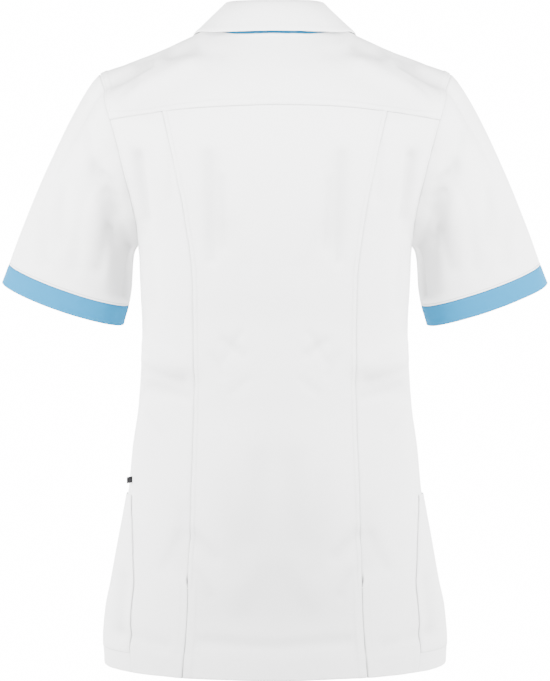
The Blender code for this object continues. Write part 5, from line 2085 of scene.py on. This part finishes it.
@dataclass(frozen=True)
class PlasticFinish:
    """Cast button plastic with a faint cloud in it."""

    name: str = "button_plastic"
    colour: tuple[float, float, float] = (0.86, 0.86, 0.84)
    cloud: tuple[float, float, float] = (0.78, 0.78, 0.76)
    roughness: float = 0.24
    coat: float = 0.25

    def build(self) -> bpy.types.Material:
        """Build the material."""
        made, make, surface = new_material(self.name)
        place = make.add("ShaderNodeTexCoord")
        cloud = make.add("ShaderNodeTexNoise", {
            "Vector": place.outputs["Object"], "Scale": 320.0, "Detail": 3.0, "Distortion": 1.2,
        }).outputs[0]
        make.wire(surface, {
            "Base Color": make.mix(cloud, (*self.cloud, 1), (*self.colour, 1)),
            "Roughness": make.math("MULTIPLY_ADD", cloud, 0.12, self.roughness),
            "Coat Weight": self.coat,
        })
        return made


@dataclass(frozen=True)
class Finishes:
    """All materials of the tunic."""

    white: bpy.types.Material
    blue: bpy.types.Material
    tape: bpy.types.Material
    thread: bpy.types.Material
    plastic: bpy.types.Material

    @classmethod
    def make(cls) -> "Finishes":
        """Build every finish."""
        weave = weave_group()
        crumple = crumple_group()
        white = ClothFinish("white_twill", (0.85, 0.85, 0.85), (0.80, 0.80, 0.805))
        blue = ClothFinish("blue_twill", (0.001, 0.15, 0.31), (0.001, 0.132, 0.275), sheen=0.0)
        tape = ClothFinish(
            "black_tape", (0.016, 0.016, 0.018), (0.006, 0.006, 0.007),
            thread=0.5 * MM, crumple_depth=0.1 * MM,
        )
        return cls(
            white=white.build(weave, crumple),
            blue=blue.build(weave, crumple),
            tape=tape.build(weave, crumple),
            thread=ThreadFinish().build(),
            plastic=PlasticFinish().build(),
        )

    def for_slot(self, slot: str) -> bpy.types.Material:
        """The cloth that goes with one of the record's slots."""
        return {"white_cloth": self.white, "blue_cloth": self.blue, "label_cloth": self.tape}[slot]


class Lamp(NamedTuple):
    """One soft square lamp: where it stands, its width and its power."""

    x: float
    y: float
    z: float
    width: float
    power: float


@dataclass
class Studio:
    """The plain pale floor, the soft light and the camera."""

    distance: float = 2.5
    camera_height: float = -0.349
    view_height: float = 681 * 1.12 * MM
    sensor: float = 36.0
    floor_level: float = -1.05
    floor_radius: float = 1.1
    floor_sides: int = 96
    floor_colour: tuple[float, float, float, float] = (0.9, 0.9, 0.9, 1)
    aim: tuple[float, float, float] = (0.0, 0.0, -0.3)
    surround: float = 0.12
    backdrop: float = 16.0
    lamps: tuple[Lamp, ...] = (
        Lamp(0.8, 0.7, 0.0, 0.4, 40),
        Lamp(-0.8, 0.7, 0.0, 0.4, 38),
        Lamp(0.0, 0.6, 0.2, 0.3, 8),
        Lamp(2.2, 0.2, -0.6, 0.8, 58),
        Lamp(-2.2, 0.2, -0.6, 0.8, 62),
        Lamp(1.2, -0.2, -0.3, 0.5, 10),
        Lamp(-1.2, -0.2, -0.3, 0.5, 8),
        Lamp(1.5, -1.9, 0.1, 1.0, 110),
        Lamp(-1.6, -1.7, 0.1, 1.0, 80),
    )

    def build(self) -> None:
        """Set up everything round the tunic."""
        self._camera()
        self._surround()
        self._floor()
        for number, lamp in enumerate(self.lamps, 1):
            self._lamp(f"lamp_{number}", lamp)

    def _camera(self) -> None:
        """Stand the camera level behind the tunic."""
        camera = bpy.data.cameras.new("camera")
        camera.sensor_width = self.sensor
        camera.lens = self.sensor * self.distance / self.view_height
        made = bpy.data.objects.new("camera", camera)
        made.location = (0, self.distance, self.camera_height)
        made.rotation_euler = (math.pi / 2, 0, math.pi)
        bpy.context.scene.collection.objects.link(made)
        bpy.context.scene.camera = made

    def _lamp(self, name: str, lamp: Lamp) -> None:
        """Hang one soft lamp and turn it towards the tunic."""
        light = bpy.data.lights.new(name, "AREA")
        light.size = lamp.width
        light.energy = lamp.power
        made = bpy.data.objects.new(name, light)
        made.location = (lamp.x, lamp.y, lamp.z)
        away = Vector(made.location) - Vector(self.aim)
        made.rotation_euler = away.to_track_quat("Z", "Y").to_euler()
        made.visible_camera = False
        bpy.context.scene.collection.objects.link(made)

    def _surround(self) -> None:
        """Light the tunic softly from everywhere, before a plain white backdrop."""
        world = bpy.data.worlds.new("studio")
        world.use_nodes = True
        make = NodeMaker(world.node_tree)
        path = make.add("ShaderNodeLightPath")
        strength = make.math(
            "MULTIPLY_ADD", path.outputs["Is Camera Ray"], self.backdrop - self.surround, self.surround,
        )
        make.wire(world.node_tree.nodes["Background"], {"Color": (1, 1, 1, 1), "Strength": strength})
        bpy.context.scene.world = world

    def _floor(self) -> None:
        """Lay the round pale floor."""
        turn = np.linspace(0, 2 * math.pi, self.floor_sides, endpoint=False)
        height = np.full(len(turn), self.floor_level)
        ring = np.stack((np.cos(turn) * self.floor_radius, np.sin(turn) * self.floor_radius, height), axis=1)
        mesh = bpy.data.meshes.new("floor")
        mesh.from_pydata(ring.tolist(), [], [tuple(range(len(turn)))])
        pale, make, surface = new_material("floor")
        grain = make.add("ShaderNodeTexNoise", {"Scale": 6.0, "Detail": 5.0})
        rough = make.math("MULTIPLY_ADD", grain.outputs[0], 0.1, 0.75)
        make.wire(surface, {"Roughness": rough, "Base Color": self.floor_colour})
        mesh.materials.append(pale)
        made = bpy.data.objects.new("floor", mesh)
        bpy.context.scene.collection.objects.link(made)


def sew_all(shop: Workshop) -> None:
    """Turn the gathered lines into thread, one piece for each group and kind."""
    for group, lines in shop.stitching.items():
        for kind in StitchKind:
            chosen = [item for item in lines if item.kind is kind]
            if not chosen:
                continue
            name = group if kind is StitchKind.RUNNING else f"{group}_close"
            shop.fit(shop.nodes.along_lines(name, chosen, kind, shop.finishes.thread), "white_cloth")


def main() -> None:
    """Load the frame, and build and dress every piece."""
    logging.basicConfig(level=logging.INFO, format="%(name)s: %(message)s")
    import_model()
    form = BodyForm()
    folds = FoldField(BACK_FOLDS, FRONT_FOLDS, SLEEVE_FOLDS)
    shop = Workshop(form, folds, Armhole.on(form, folds), Finishes.make(), SewingNodes())
    Back(shop).build()
    Yoke(shop).build()
    Fronts(shop).build()
    Sleeves(shop).build()
    Collar(shop).build()
    Buttons(shop).build()
    SideLabel(shop).build()
    sew_all(shop)
    Studio().build()


if __name__ == "__main__":
    main()
